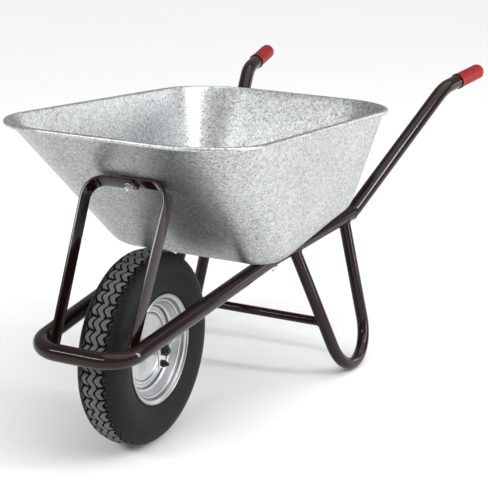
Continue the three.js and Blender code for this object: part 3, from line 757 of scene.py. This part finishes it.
def outline(shape, inset=0.0):
    """Points round a trapezoid with rounded corners, in a plane that slopes from front to rear."""
    front = AXLE_Y + shape["front"] + inset
    rear = AXLE_Y + shape["rear"] - inset
    front_half = shape["front_half"] - inset
    rear_half = shape["rear_half"] - inset
    left = [Vector((front_half, front)), Vector((rear_half, rear))]
    corners = left + [Vector((-rear_half, rear)), Vector((-front_half, front))]
    radius = max(shape["corner"] - inset, TIGHTEST_CORNER)
    arcs = []
    for i, corner in enumerate(corners):
        back = (corners[i - 1] - corner).normalized()
        ahead = (corners[(i + 1) % 4] - corner).normalized()
        half = math.acos(back.dot(ahead)) / 2
        middle = corner + (back + ahead).normalized() * radius / math.sin(half)
        start = corner + back * radius / math.tan(half) - middle
        turn = math.pi - 2 * half
        arc = []
        for k in range(CORNER_STEPS + 1):
            angle = turn * k / CORNER_STEPS
            spun = Vector((start.x * math.cos(angle) - start.y * math.sin(angle),
                           start.x * math.sin(angle) + start.y * math.cos(angle)))
            arc.append(middle + spun)
        arcs.append(arc)
    flat = []
    for i, arc in enumerate(arcs):
        following = arcs[(i + 1) % 4][0]
        flat += arc
        flat += [arc[-1].lerp(following, k / SIDE_STEPS) for k in range(1, SIDE_STEPS)]
    slope = (shape["rear_z"] - shape["front_z"]) / (shape["rear"] - shape["front"])
    return [Vector((p.x, p.y, shape["front_z"] + slope * (p.y - AXLE_Y - shape["front"]))) for p in flat]


RIM_LINE = outline(RIM)
FLOOR_LINE = outline(FLOOR)
FLOOR_EDGE = outline(FLOOR, FLOOR_FILLET)
PAN_COUNT = len(RIM_LINE)
WALL_UP = [(top - foot).normalized() for top, foot in zip(RIM_LINE, FLOOR_LINE)]


def pan_outward(i):
    along = RIM_LINE[(i + 1) % PAN_COUNT] - RIM_LINE[i - 1]
    return along.cross(WALL_UP[i]).normalized()


HALF_SHEET = SHEET / 2
FLOOR_STEPS = 7
FILLET_STEPS = 10
WALL_STEPS = 14
CURL_STEPS = 22
PAN_CREASE = 60


def pan_profile(i, middle):
    """The middle of the sheet, from the middle of the floor out to the end of the rolled rim."""
    wall_foot = FLOOR_LINE[i] + WALL_UP[i] * FLOOR_FILLET
    line = [middle.lerp(FLOOR_EDGE[i], k / FLOOR_STEPS) for k in range(1, FLOOR_STEPS)]
    for k in range(FILLET_STEPS + 1):
        t = k / FILLET_STEPS
        line.append(FLOOR_EDGE[i] * (1 - t) ** 2 + FLOOR_LINE[i] * 2 * t * (1 - t) + wall_foot * t * t)
    line += [wall_foot.lerp(RIM_LINE[i], k / WALL_STEPS) for k in range(1, WALL_STEPS + 1)]
    outward = pan_outward(i)
    centre = RIM_LINE[i] + outward * BEAD_R
    for k in range(1, CURL_STEPS + 1):
        turn = CURL_TURN * k / CURL_STEPS
        line.append(centre - outward * BEAD_R * math.cos(turn) + WALL_UP[i] * BEAD_R * math.sin(turn))
    return line


def build_pan():
    """Both faces of the sheet, joined along the end of its rolled rim; a fan fills the floor's middle."""
    middle = sum(FLOOR_EDGE, Vector()) / PAN_COUNT
    profiles = [pan_profile(i, middle) for i in range(PAN_COUNT)]
    rows = len(profiles[0])
    verts, faces = [], []

    def normal(i, k):
        along = profiles[(i + 1) % PAN_COUNT][k] - profiles[i - 1][k]
        up = profiles[i][min(k + 1, rows - 1)] - profiles[i][max(k - 1, 0)]
        return along.cross(up).normalized()

    for offset in (HALF_SHEET, -HALF_SHEET):
        for i in range(PAN_COUNT):
            verts += [profiles[i][k] + normal(i, k) * offset for k in range(rows)]
    inner = PAN_COUNT * rows
    for i in range(PAN_COUNT):
        a, b = i * rows, ((i + 1) % PAN_COUNT) * rows
        for k in range(rows - 1):
            faces.append((a + k, b + k, b + k + 1, a + k + 1))
            faces.append((inner + a + k, inner + a + k + 1, inner + b + k + 1, inner + b + k))
        last = rows - 1
        faces.append((a + last, b + last, inner + b + last, inner + a + last))
    quarter = FLOOR_EDGE[PAN_COUNT // 4]
    floor_normal = (FLOOR_EDGE[0] - middle).cross(quarter - middle).normalized()
    for offset, base, step in ((-HALF_SHEET, 0, -1), (HALF_SHEET, inner, 1)):
        hub = len(verts)
        verts.append(middle + floor_normal * offset)
        for i in range(PAN_COUNT):
            rim = [base + i * rows, base + ((i + 1) % PAN_COUNT) * rows]
            faces.append((hub, *rim[::step]))
    piece("pressed_pan", verts, faces, GALVANISED, stands_for=["tray"], crease=PAN_CREASE)


# ---- Front struts ----
WALL_DOWN = Vector((0, FLOOR["front"] - RIM["front"], FLOOR["front_z"] - RIM["front_z"])).normalized()
WALL_OUT = Vector((0, WALL_DOWN.z, -WALL_DOWN.y)).normalized()


def front_wall_at(z):
    y = AXLE_Y + RIM["front"] + (RIM["front_z"] - z) * WALL_DOWN.y / -WALL_DOWN.z
    return Vector((0, y, z))


BAR_CORNER_STEPS = 3
STRAP_EDGE = 0.9
BRACKET_EDGE = 0.8


def rounded_bar(width, thickness, radius):
    """Outline of a flat bar with rounded edges, as (across, up) pairs."""
    points = []
    for sx, sy, first in ((1, 1, 0), (-1, 1, 90), (-1, -1, 180), (1, -1, 270)):
        for k in range(BAR_CORNER_STEPS + 1):
            angle = math.radians(first + 90 * k / BAR_CORNER_STEPS)
            points.append((sx * (width / 2 - radius) + radius * math.cos(angle),
                           sy * (thickness / 2 - radius) + radius * math.sin(angle)))
    return points


def strut_leg(corner):
    """Directions of a strut's leg, along it and across its width, for a corner at its top."""
    leg_up = (corner - STRUT_FOOT).normalized()
    return leg_up, Vector((0, leg_up.z, -leg_up.y)).normalized()


STRAIGHT = 0.02


def strut_shape(layer):
    """One flat bar, up from the frame, round the corner and across the pan's front wall."""
    lift = HALF_SHEET + GAP + STRAP_THICKNESS / 2 + layer * (STRAP_THICKNESS + GAP)
    lap = front_wall_at(STRUT_TOP_Z) + WALL_OUT * lift
    corner = Vector((STRUT_TOP_X, lap.y, lap.z))
    _, leg_width = strut_leg(corner)
    path = bent_path([STRUT_FOOT, corner, Vector((-STRUT_LAP, lap.y, lap.z))], [STRUT_BEND])
    turned = [tangent.angle(path[0][1]) for _, tangent in path]
    bends = [i for i, angle in enumerate(turned) if STRAIGHT < angle < turned[-1] - STRAIGHT]
    first, last = bends[0] - 1, bends[-1] + 1
    section = rounded_bar(STRAP_WIDTH, STRAP_THICKNESS, STRAP_EDGE)
    rings = []
    for i, (centre, along) in enumerate(path):
        blend = min(max((i - first) / (last - first), 0), 1)
        width = leg_width.lerp(WALL_DOWN, blend)
        width = (width - along * width.dot(along)).normalized()
        face = along.cross(width)
        rings.append([centre + width * a + face * b for a, b in section])
    return loft(rings)


STRUT_WELD_HALF = 11
STRUT_WELD_INSET = 0.5


def strut_weld():
    """Two upright beads, along the bar's edges where its outer face lies against the rail."""
    rail = rail_at(STRUT_FOOT.y - AXLE_Y)
    leg_up, width = strut_leg(Vector((STRUT_TOP_X, front_wall_at(STRUT_TOP_Z).y, STRUT_TOP_Z)))
    outward = Vector((1, 0, 0))
    middle = STRUT_FOOT + leg_up * ((rail.z - STRUT_FOOT.z) / leg_up.z) + outward * STRAP_THICKNESS / 2
    beads = []
    for edge in (-1, 1):
        start = middle + width * edge * (STRAP_WIDTH / 2 - STRUT_WELD_INSET)
        seam = [start + leg_up * step for step in range(-STRUT_WELD_HALF, STRUT_WELD_HALF + 1)]
        beads.append(weld_bead(seam, outward, STRUT_BEAD, closed=False))
    return joined(beads)


def build_struts():
    piece("strut_bar_left", *strut_shape(0), PAINT, stands_for=["front_strut_left"])
    piece("strut_bar_right", *mirrored(strut_shape(1)), PAINT, stands_for=["front_strut_right"])
    pair("strut_weld", strut_weld(), PAINT, crease=WELD_CREASE)


# ---- Fasteners ----
THREAD_PITCH = 1.25
THREAD_DEPTH = 0.45
THREAD_TIP = 0.9
THREAD_ROWS = 6
THREAD_SIDES = 24
HEX_SIDES = 48
HEX_CONE = 0.97
HEX_SLOPE = math.tan(math.radians(30))
HEX_EDGE = 0.6
HEAD_RIM = 0.4
HEAD_RINGS = 10
HEAD_TIP = 0.3
SHANK_SINK = 0.5
# How much smaller a nut's bore and a plain shank are than the thread.
NUT_FIT = 0.2
AXLE_NUT_FIT = 0.3
SHANK_FIT = 0.2
AXLE_SHANK_FIT = 0.1

M8_FLATS = 13
M8_NUT = 6.5
M8_WASHER_R = 8.5
M8_WASHER = 1.6
M8_HEAD_R = 9.5
M8_HEAD = 4.5
M8_TAIL = 13
M8_THREAD_LEAD = 4
M8_THREAD_LAP = 0.1
KEEPER_HEAD_R = 6
KEEPER_HEAD = 2
KEEPER_LENGTH = 19
M12_FLATS = 19
M12_HEAD = 7.5
M12_NUT = 10
M12_WASHER_R = 12
M12_WASHER = 2.0
M12_TAIL = 14
M12_THREAD = 24.2
M12_THREAD_LAP = 0.2


def hexagonal(across_flats, height, bore, origin, axis):
    """A nut whose corners are cut back by a cone, or without a bore a bolt's head, flat on its seat."""
    flat = across_flats / 2
    cone = flat * HEX_CONE
    directions = spokes(axis, HEX_SIDES)

    def level(radius, z):
        return [origin + axis * z + out * radius for out in directions]

    def hexagon(z, slope):
        """The six sides at height z, sloping where they stand out past the cone."""
        ring = []
        for i, out in enumerate(directions):
            turn = 2 * math.pi * i / HEX_SIDES
            radius = flat / math.cos((turn + math.pi / 6) % (math.pi / 3) - math.pi / 6)
            ring.append(origin + out * radius + axis * (z + slope * max(0, radius - cone)))
        return ring

    rings = [level(bore, HEX_EDGE), level(bore + HEX_EDGE, 0)]
    rings += [level(cone, 0), hexagon(0, HEX_SLOPE)] if bore else [hexagon(0, 0)]
    rings += [hexagon(height, -HEX_SLOPE), level(cone, height)]
    rings += [level(bore + HEX_EDGE, height), level(bore, height - HEX_EDGE)]
    return loft(rings, closed=True) if bore else loft(rings[1:-1])


def threaded_rod(radius, start, length, origin, axis):
    """A threaded length from start to start + length along axis, with a chamfered tip."""
    directions = spokes(axis, THREAD_SIDES)
    steps = THREAD_ROWS * round(length / THREAD_PITCH)
    rings = []
    for k in range(steps + 1):
        z = length * k / steps
        ring = []
        for i, out in enumerate(directions):
            phase = (z / THREAD_PITCH - i / THREAD_SIDES) % 1
            r = min(radius - THREAD_DEPTH * abs(2 * phase - 1), radius - THREAD_TIP + length - z)
            ring.append(origin + out * r + axis * (start + z))
        rings.append(ring)
    return loft(rings)


def domed_head(radius, height, origin, axis):
    profile = [(HEAD_TIP, 0), (radius - HEAD_TIP, 0), (radius, HEAD_RIM)]
    for k in range(1, HEAD_RINGS):
        angle = math.pi / 2 * k / HEAD_RINGS
        profile.append((radius * math.cos(angle), HEAD_RIM + (height - HEAD_RIM) * math.sin(angle)))
    profile.append((HEAD_TIP, height))
    return solid_of_revolution(profile, origin, axis, ROUND_SIDES)


def plain_shank(radius, end, origin, axis):
    """A plain length, from a little inside the head to end."""
    return solid_of_revolution([(radius, -SHANK_SINK), (radius, end)], origin, axis, THREAD_SIDES)


def bolt_set(name, origin, axis, grip):
    """A dome-headed M8 bolt at origin, with its washer and nut at the far end of the grip."""
    down = -axis
    lead = grip - M8_THREAD_LEAD
    head = domed_head(M8_HEAD_R, M8_HEAD, origin, axis)
    rod = threaded_rod(BOLT_R, lead, M8_TAIL + M8_THREAD_LEAD, origin, down)
    plain = plain_shank(BOLT_R - SHANK_FIT, lead + M8_THREAD_LAP, origin, down)
    piece(f"{name}_dome_bolt", *joined([head, rod, plain]), ZINC, stands_for=[f"{name}_bolt"])
    seat = origin + down * (grip + GAP)
    shape = chamfered_ring(M8_WASHER_R, M8_WASHER, BOLT_R + GAP, seat, down)
    piece(f"{name}_round_washer", *shape, ZINC, stands_for=[f"{name}_washer"])
    shape = hexagonal(M8_FLATS, M8_NUT, BOLT_R - NUT_FIT, seat + down * (M8_WASHER + GAP), down)
    piece(f"{name}_hex_nut", *shape, ZINC, stands_for=[f"{name}_nut"])


FLOOR_UP = Vector((0, FLOOR["front_z"] - FLOOR["rear_z"], FLOOR["rear"] - FLOOR["front"])).normalized()


def floor_z(y):
    share = (y - AXLE_Y - FLOOR["front"]) / (FLOOR["rear"] - FLOOR["front"])
    return FLOOR["front_z"] + (FLOOR["rear_z"] - FLOOR["front_z"]) * share


def build_pan_bolts():
    head_seat = HALF_SHEET + GAP
    origin = front_wall_at(STRUT_TOP_Z) - WALL_OUT * head_seat
    bolt_set("front_strut", origin, -WALL_OUT, 2 * head_seat + 2 * STRAP_THICKNESS + GAP)
    for side, sign in SIDES:
        rail = on_side(sign, rail_at(SADDLE_STATIONS["front"]))
        top = rail + FLOOR_UP * ((floor_z(rail.y) - rail.z) * FLOOR_UP.z + head_seat)
        bolt_set(f"tray_front_{side}", top, FLOOR_UP, (top - rail).length + TUBE_R + GAP)


# ---- Axle, brackets ----
def axle_point(x, z=AXLE_Z):
    return Vector((x, AXLE_Y, z))


def bracket_line():
    rail = rail_at(0)
    return [
        Vector((BRACKET_X, AXLE_Y, BRACKET_FOOT_Z)),
        Vector((BRACKET_X, AXLE_Y, BRACKET_KNEE_Z)),
        Vector((BRACKET_STEP_X, AXLE_Y, BRACKET_KNEE_Z + BRACKET_STEP_RISE)),
        Vector((rail.x - BRACKET_STEP_RISE, AXLE_Y, rail.z)),
    ]


def build_brackets():
    """Bent flat bars that carry the axle, each welded under its rail."""
    path = bent_path(bracket_line(), [BRACKET_BEND, BRACKET_BEND])
    section = rounded_bar(BRACKET_WIDTH, BRACKET_THICKNESS, BRACKET_EDGE)
    rings = swept_rings(path, [section] * len(path), Vector((0, 1, 0)))
    pair("bracket_plate", loft(rings), ZINC, "axle_bracket")


WHEEL_AXIS = Vector((1, 0, 0))
BRACKET_OUTER = BRACKET_X + BRACKET_THICKNESS / 2 + GAP
BRACKET_INNER = BRACKET_X - BRACKET_THICKNESS / 2 - GAP
AXLE_SEAT = BRACKET_OUTER + M12_WASHER + GAP


def build_keeper(side, sign):
    """The small second bolt below the axle on one bracket."""
    out = WHEEL_AXIS * sign
    start = axle_point(sign * BRACKET_INNER, KEEPER_Z)
    head = domed_head(KEEPER_HEAD_R, KEEPER_HEAD, start, -out)
    rod = threaded_rod(BOLT_R, 0, KEEPER_LENGTH, start, out)
    piece(f"keeper_dome_bolt_{side}", *joined([head, rod]), BLACK, stands_for=[f"keeper_bolt_{side}"])
    seat = axle_point(sign * BRACKET_OUTER, KEEPER_Z)
    shape = hexagonal(M8_FLATS, M8_NUT, BOLT_R - NUT_FIT, seat, out)
    piece(f"keeper_hex_nut_{side}", *shape, BLACK, stands_for=[f"keeper_nut_{side}"])


def build_axle():
    """An M12 bolt through both brackets and the hub, with its nut on the left, and the keepers."""
    start = axle_point(-AXLE_SEAT)
    thread_start = 2 * AXLE_SEAT + M12_TAIL - M12_THREAD
    head = hexagonal(M12_FLATS, M12_HEAD, 0, start, -WHEEL_AXIS)
    plain = plain_shank(AXLE_R - AXLE_SHANK_FIT, thread_start + M12_THREAD_LAP, start, WHEEL_AXIS)
    rod = threaded_rod(AXLE_R, thread_start, M12_THREAD, start, WHEEL_AXIS)
    piece("axle_bolt", *joined([head, plain, rod]), BLACK, stands_for=["axle"])
    for side, sign in SIDES:
        seat = axle_point(sign * BRACKET_OUTER)
        shape = chamfered_ring(M12_WASHER_R, M12_WASHER, AXLE_R + GAP, seat, WHEEL_AXIS * sign)
        piece(f"axle_round_washer_{side}", *shape, ZINC, stands_for=[f"axle_washer_{side}"])
        build_keeper(side, sign)
    shape = hexagonal(M12_FLATS, M12_NUT, AXLE_R - AXLE_NUT_FIT, axle_point(AXLE_SEAT), WHEEL_AXIS)
    piece("axle_hex_nut", *shape, BLACK, stands_for=["axle_nut"])


# ---- Wheel ----
WHEEL_SIDES = 144
ROUNDING_STEPS = 4
ROUNDING_SHARE = 0.45


def rounded_profile(points, radius):
    """An open profile with its inner corners rounded."""
    result = [points[0]]
    for before, corner, after in zip(points, points[1:], points[2:]):
        corner = Vector(corner)
        back = Vector(before) - corner
        ahead = Vector(after) - corner
        cut = min(radius, back.length * ROUNDING_SHARE, ahead.length * ROUNDING_SHARE)
        start, end = corner + back.normalized() * cut, corner + ahead.normalized() * cut
        for k in range(ROUNDING_STEPS + 1):
            t = k / ROUNDING_STEPS
            result.append(tuple(start * (1 - t) ** 2 + corner * 2 * t * (1 - t) + end * t * t))
    result.append(points[-1])
    return result


# Half of the rim's section from its lip to the hub, as (radius, distance from the wheel's middle).
RIM_FACE = [(110, 40.2), (112, 38.4), (110.5, 37.2), (107, 36.0), (105, 35.2), (101.5, 30.5), (99.8, 28.4),
            (97.6, 27.8), (96, 26.4), (90.5, 14.8), (89, 13.2), (86.5, 12.6), (85.2, 11), (84.4, 7.4),
            (82, 5.8), (78, 5.8), (76.4, 7.2), (72, 7.2), (70, 5.4), (66, 2.4), (HUB_R + GAP, 2.2)]
RIM_SHEET = 1.8
RIM_ROUNDING = 1.2
RIM_CREASE = 40
HUB_EDGE = 0.8
HUB_SIDES = 48


def rim_section():
    """The sheet's outer face and, going back, its face on the tyre's side."""
    face = rounded_profile(RIM_FACE, RIM_ROUNDING)
    last = len(face) - 1
    back = []
    for i, (r, x) in enumerate(face):
        along = (Vector(face[min(i + 1, last)]) - Vector(face[max(i - 1, 0)])).normalized()
        back.append((r if i == last else r - along.y * RIM_SHEET, x + along.x * RIM_SHEET))
    return face + back[::-1]


def build_rim():
    shape = ring_of_revolution(rim_section(), axle_point(0), WHEEL_AXIS, WHEEL_SIDES)
    pair("rim_dish", shape, SILVER, "rim_half", body="wheel", crease=RIM_CREASE)
    start = axle_point(-HUB_HALF)
    hub = chamfered_ring(HUB_R, 2 * HUB_HALF, HUB_BORE, start, WHEEL_AXIS, HUB_EDGE, HUB_SIDES)
    piece("hub_sleeve", *hub, SILVER, "wheel", ["hub_tube"])


# ---- Tyre ----
PITCHES = 45
PITCH_ROWS = 20
GROOVE_DEPTH = 6.0
SLOT_DEPTH = 5.0
SLOT_PHASE = 0.26
SLOT_HALF = 0.085
SLOT_LEAN = 0.006
BLOCK_MIDDLE = 16
NOTCH_DEPTH = 2.2
NOTCH_PHASE = 0.70
NOTCH_HALF = 0.06
SIPE_DEPTH = 2.4
SIPE_START = 0.20
SIPE_END = 0.30
SIPE_FROM = 4
WAVE = 4.2
TYRE_CREASE = 28
# Half sections, as (distance from the wheel's middle, radius): the outside from the crown down to
# the bead, where the tread gives way to the side wall at SIDE_WALL_START, and the inside.
CARCASS = [(0, 200), (8, 199.7), (15, 198.6), (22, 196.9), (29, 194.4), (34, 191.6), (39, 187),
           (43, 181), (46.4, 174), (48.8, 166), (50, 157), (49.6, 148), (48, 139), (44.6, 128),
           (40.4, 120), (36.6, 114.4), (34.6, 111.2), (33, 107)]
SIDE_WALL_START = 7
BEAD_TOE = (20, 104)
INSIDE = [(35, 124), (43, 157), (28, 181)]
INSIDE_CROWN = (0, 188)


def carcass_radius(x):
    """The tread's outer radius at a distance from the wheel's middle."""
    spans = zip(CARCASS, CARCASS[1:])
    (x0, r0), (x1, r1) = next(span for span in spans if abs(x) <= span[1][0])
    return r0 + (r1 - r0) * (abs(x) - x0) / (x1 - x0)


# Half of the tread from its middle outwards, as (x, kind, share of the sway). A rib stays at full
# height but for a short sipe, a groove runs all the way round, slots cut the blocks, and only
# shallow notches cut the shoulder.
TREAD = [
    (0.0, "rib", 1), (2.9, "rib", 1), (5.4, "rib", 1), (6.2, "groove", 1), (9.4, "groove", 1),
    (10.2, "block", 1), (12.6, "block", 1), (15.2, "block", 1), (17.8, "block", 1), (20.4, "block", 1),
    (21.2, "groove", 0.9), (24.4, "groove", 0.75), (25.4, "shoulder", 0.6), (29.0, "shoulder", 0.4),
    (32.0, "shoulder", 0.2), (35.5, "plain", 0.1), (39, "plain", 0),
]


def tread_depth(kind, phase, x):
    """How far the tread is cut at a phase of its pitch; slots lean a little as they run outwards."""
    slot = abs(phase - SLOT_PHASE - SLOT_LEAN * (x - BLOCK_MIDDLE)) < SLOT_HALF
    notch = abs(phase - NOTCH_PHASE) < NOTCH_HALF
    sipe = x > SIPE_FROM and SIPE_START <= phase < SIPE_END
    cuts = {
        "groove": GROOVE_DEPTH,
        "rib": SIPE_DEPTH * sipe,
        "block": SLOT_DEPTH * slot,
        "shoulder": NOTCH_DEPTH * notch,
        "plain": 0.0,
    }
    return cuts[kind]


def tyre_section(phase):
    """The whole section at a phase of the tread's pitch, as (x, radius) from the inside and round."""
    sway = WAVE * math.sin(2 * math.pi * phase)
    cross = [(x, kind, share, -1) for x, kind, share in reversed(TREAD[1:])]
    cross += [(x, kind, share, 1) for x, kind, share in TREAD]
    tread = []
    for x, kind, share, sign in cross:
        place = sign * x + sway * share
        tread.append((place, carcass_radius(place) - tread_depth(kind, phase, x)))
    wall = CARCASS[SIDE_WALL_START:] + [BEAD_TOE] + INSIDE
    return [(-x, r) for x, r in reversed(wall)] + tread + wall + [INSIDE_CROWN]


def build_tyre():
    rings = []
    for row in range(PITCHES * PITCH_ROWS):
        turns = row / PITCH_ROWS
        angle = 2 * math.pi * turns / PITCHES
        direction = Vector((0, math.sin(angle), math.cos(angle)))
        rings.append([axle_point(x) + direction * r for x, r in tyre_section(turns % 1)])
    piece("block_tread_tyre", *loft(rings, closed=True), TYRE, "wheel", ["tyre"], TYRE_CREASE)


VALVE_X = 14.0
VALVE_TILT = 1.43
VALVE_SIDES = 24
# Profiles as (radius, distance from the axle).
VALVE_STEM = [(2.2, 76), (2.6, 76.4), (2.6, 82), (3.4, 84), (4, 90), (4, 125)]
VALVE_CAP = [(3.6, 66), (4.6, 66.6), (5, 67.6), (5, 75), (4.6, 75.7), (2.4, 75.7)]


def build_valve():
    direction = Vector((0, math.sin(VALVE_TILT), math.cos(VALVE_TILT)))
    for name, profile, node in (("valve_rubber_stem", VALVE_STEM, "valve_stem"),
                                ("valve_dust_cap", VALVE_CAP, "valve_cap")):
        shape = solid_of_revolution(profile, axle_point(VALVE_X), direction, VALVE_SIDES)
        piece(name, *shape, TUBE_RUBBER, "wheel", [node])


# ---- CAD nodes that stay ----
def finish_cad_nodes():
    """Materials for the small or hidden nodes that are shown as the CAD made them."""
    kept = {"inner_tube": TUBE_RUBBER, "tray_rim_wire": ZINC}
    for side, _ in SIDES:
        kept[f"axle_bush_{side}"] = NYLON
        for end in SADDLE_STATIONS:
            kept[f"tray_saddle_{end}_{side}"] = PAINT
    for name, material in kept.items():
        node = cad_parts[name]
        node.data.materials.clear()
        node.data.materials.append(material)


# ---- Stage ----
FLOOR_HALF = 14.0


def build_floor():
    mesh = bpy.data.meshes.new("studio_floor")
    corners = [(FLOOR_HALF * x, FLOOR_HALF * y, 0) for x, y in ((-1, -1), (1, -1), (1, 1), (-1, 1))]
    mesh.from_pydata(corners, [], [(0, 1, 2, 3)])
    n = Nodes("studio_floor")
    color = n.ramp(n.noise(1.5, 2.0), (0.0, (0.90, 0.90, 0.90)), (1.0, (0.93, 0.93, 0.93)))
    mesh.materials.append(n.surface(Base_Color=color, Roughness=0.9))
    floor = bpy.data.objects.new("studio_floor", mesh)
    bpy.context.scene.collection.objects.link(floor)


LIGHT_TARGET = (0, 0, 0.35)
ROOM_LIGHT = 0.42
SUN_PLACE = (1.1, 0.2, 3.0)
SUN_ANGLE = math.radians(75)
SUN_POWER = 1.9
# Light panels, as name: (place, (width, height), power), in metres and watts.
PANELS = {
    "front_panel": ((-0.8, -2.8, 2.0), (2.4, 0.28), 44),
    "right_panel": ((2.8, 0.35, 1.3), (0.28, 2.4), 54),
    "rear_panel": ((1.5, 2.6, 0.7), (1.6, 0.8), 9),
}


def aim(data, place):
    """Puts a light at a place, pointed at the barrow."""
    light = bpy.data.objects.new(data.name, data)
    light.location = place
    light.rotation_euler = (Vector(place) - Vector(LIGHT_TARGET)).to_track_quat("Z", "Y").to_euler()
    bpy.context.scene.collection.objects.link(light)


def build_lights():
    """A broad soft sun and a dim white room light the floor evenly; long panels draw the highlights."""
    world = bpy.data.worlds.new("studio")
    world.use_nodes = True
    background = world.node_tree.nodes["Background"]
    background.inputs["Color"].default_value = (1, 1, 1, 1)
    background.inputs["Strength"].default_value = ROOM_LIGHT
    bpy.context.scene.world = world
    sun = bpy.data.lights.new("soft_sun", "SUN")
    sun.energy = SUN_POWER
    sun.angle = SUN_ANGLE
    aim(sun, SUN_PLACE)
    for name, (place, size, power) in PANELS.items():
        panel = bpy.data.lights.new(name, "AREA")
        panel.shape = "RECTANGLE"
        panel.size, panel.size_y = size
        panel.energy = power
        aim(panel, place)


CAMERA_TARGET = (0.1125, -0.2251, 0.3682)
CAMERA_AZIMUTH = math.radians(26.7)
CAMERA_ELEVATION = math.radians(17.8)
CAMERA_DISTANCE = 3.3033
CAMERA_LENS = 117.7
CAMERA_SENSOR = 36
CAMERA_REACH = 60


def build_camera():
    level = math.cos(CAMERA_ELEVATION)
    side, front = math.sin(CAMERA_AZIMUTH) * level, math.cos(CAMERA_AZIMUTH) * level
    back = Vector((side, -front, math.sin(CAMERA_ELEVATION)))
    data = bpy.data.cameras.new("photo_camera")
    data.lens = CAMERA_LENS
    data.sensor_width = CAMERA_SENSOR
    data.clip_end = CAMERA_REACH
    camera = bpy.data.objects.new("photo_camera", data)
    camera.location = Vector(CAMERA_TARGET) + back * CAMERA_DISTANCE
    camera.rotation_euler = back.to_track_quat("Z", "Y").to_euler()
    bpy.context.scene.collection.objects.link(camera)
    bpy.context.scene.camera = camera


bpy.context.scene.view_settings.view_transform = "Standard"
build_camera()
build_floor()
build_lights()
build_frame_tube()
build_handles()
build_grips()
build_legs()
build_brace()
build_pan()
build_struts()
build_pan_bolts()
build_brackets()
build_axle()
build_rim()
build_tyre()
build_valve()
finish_cad_nodes()
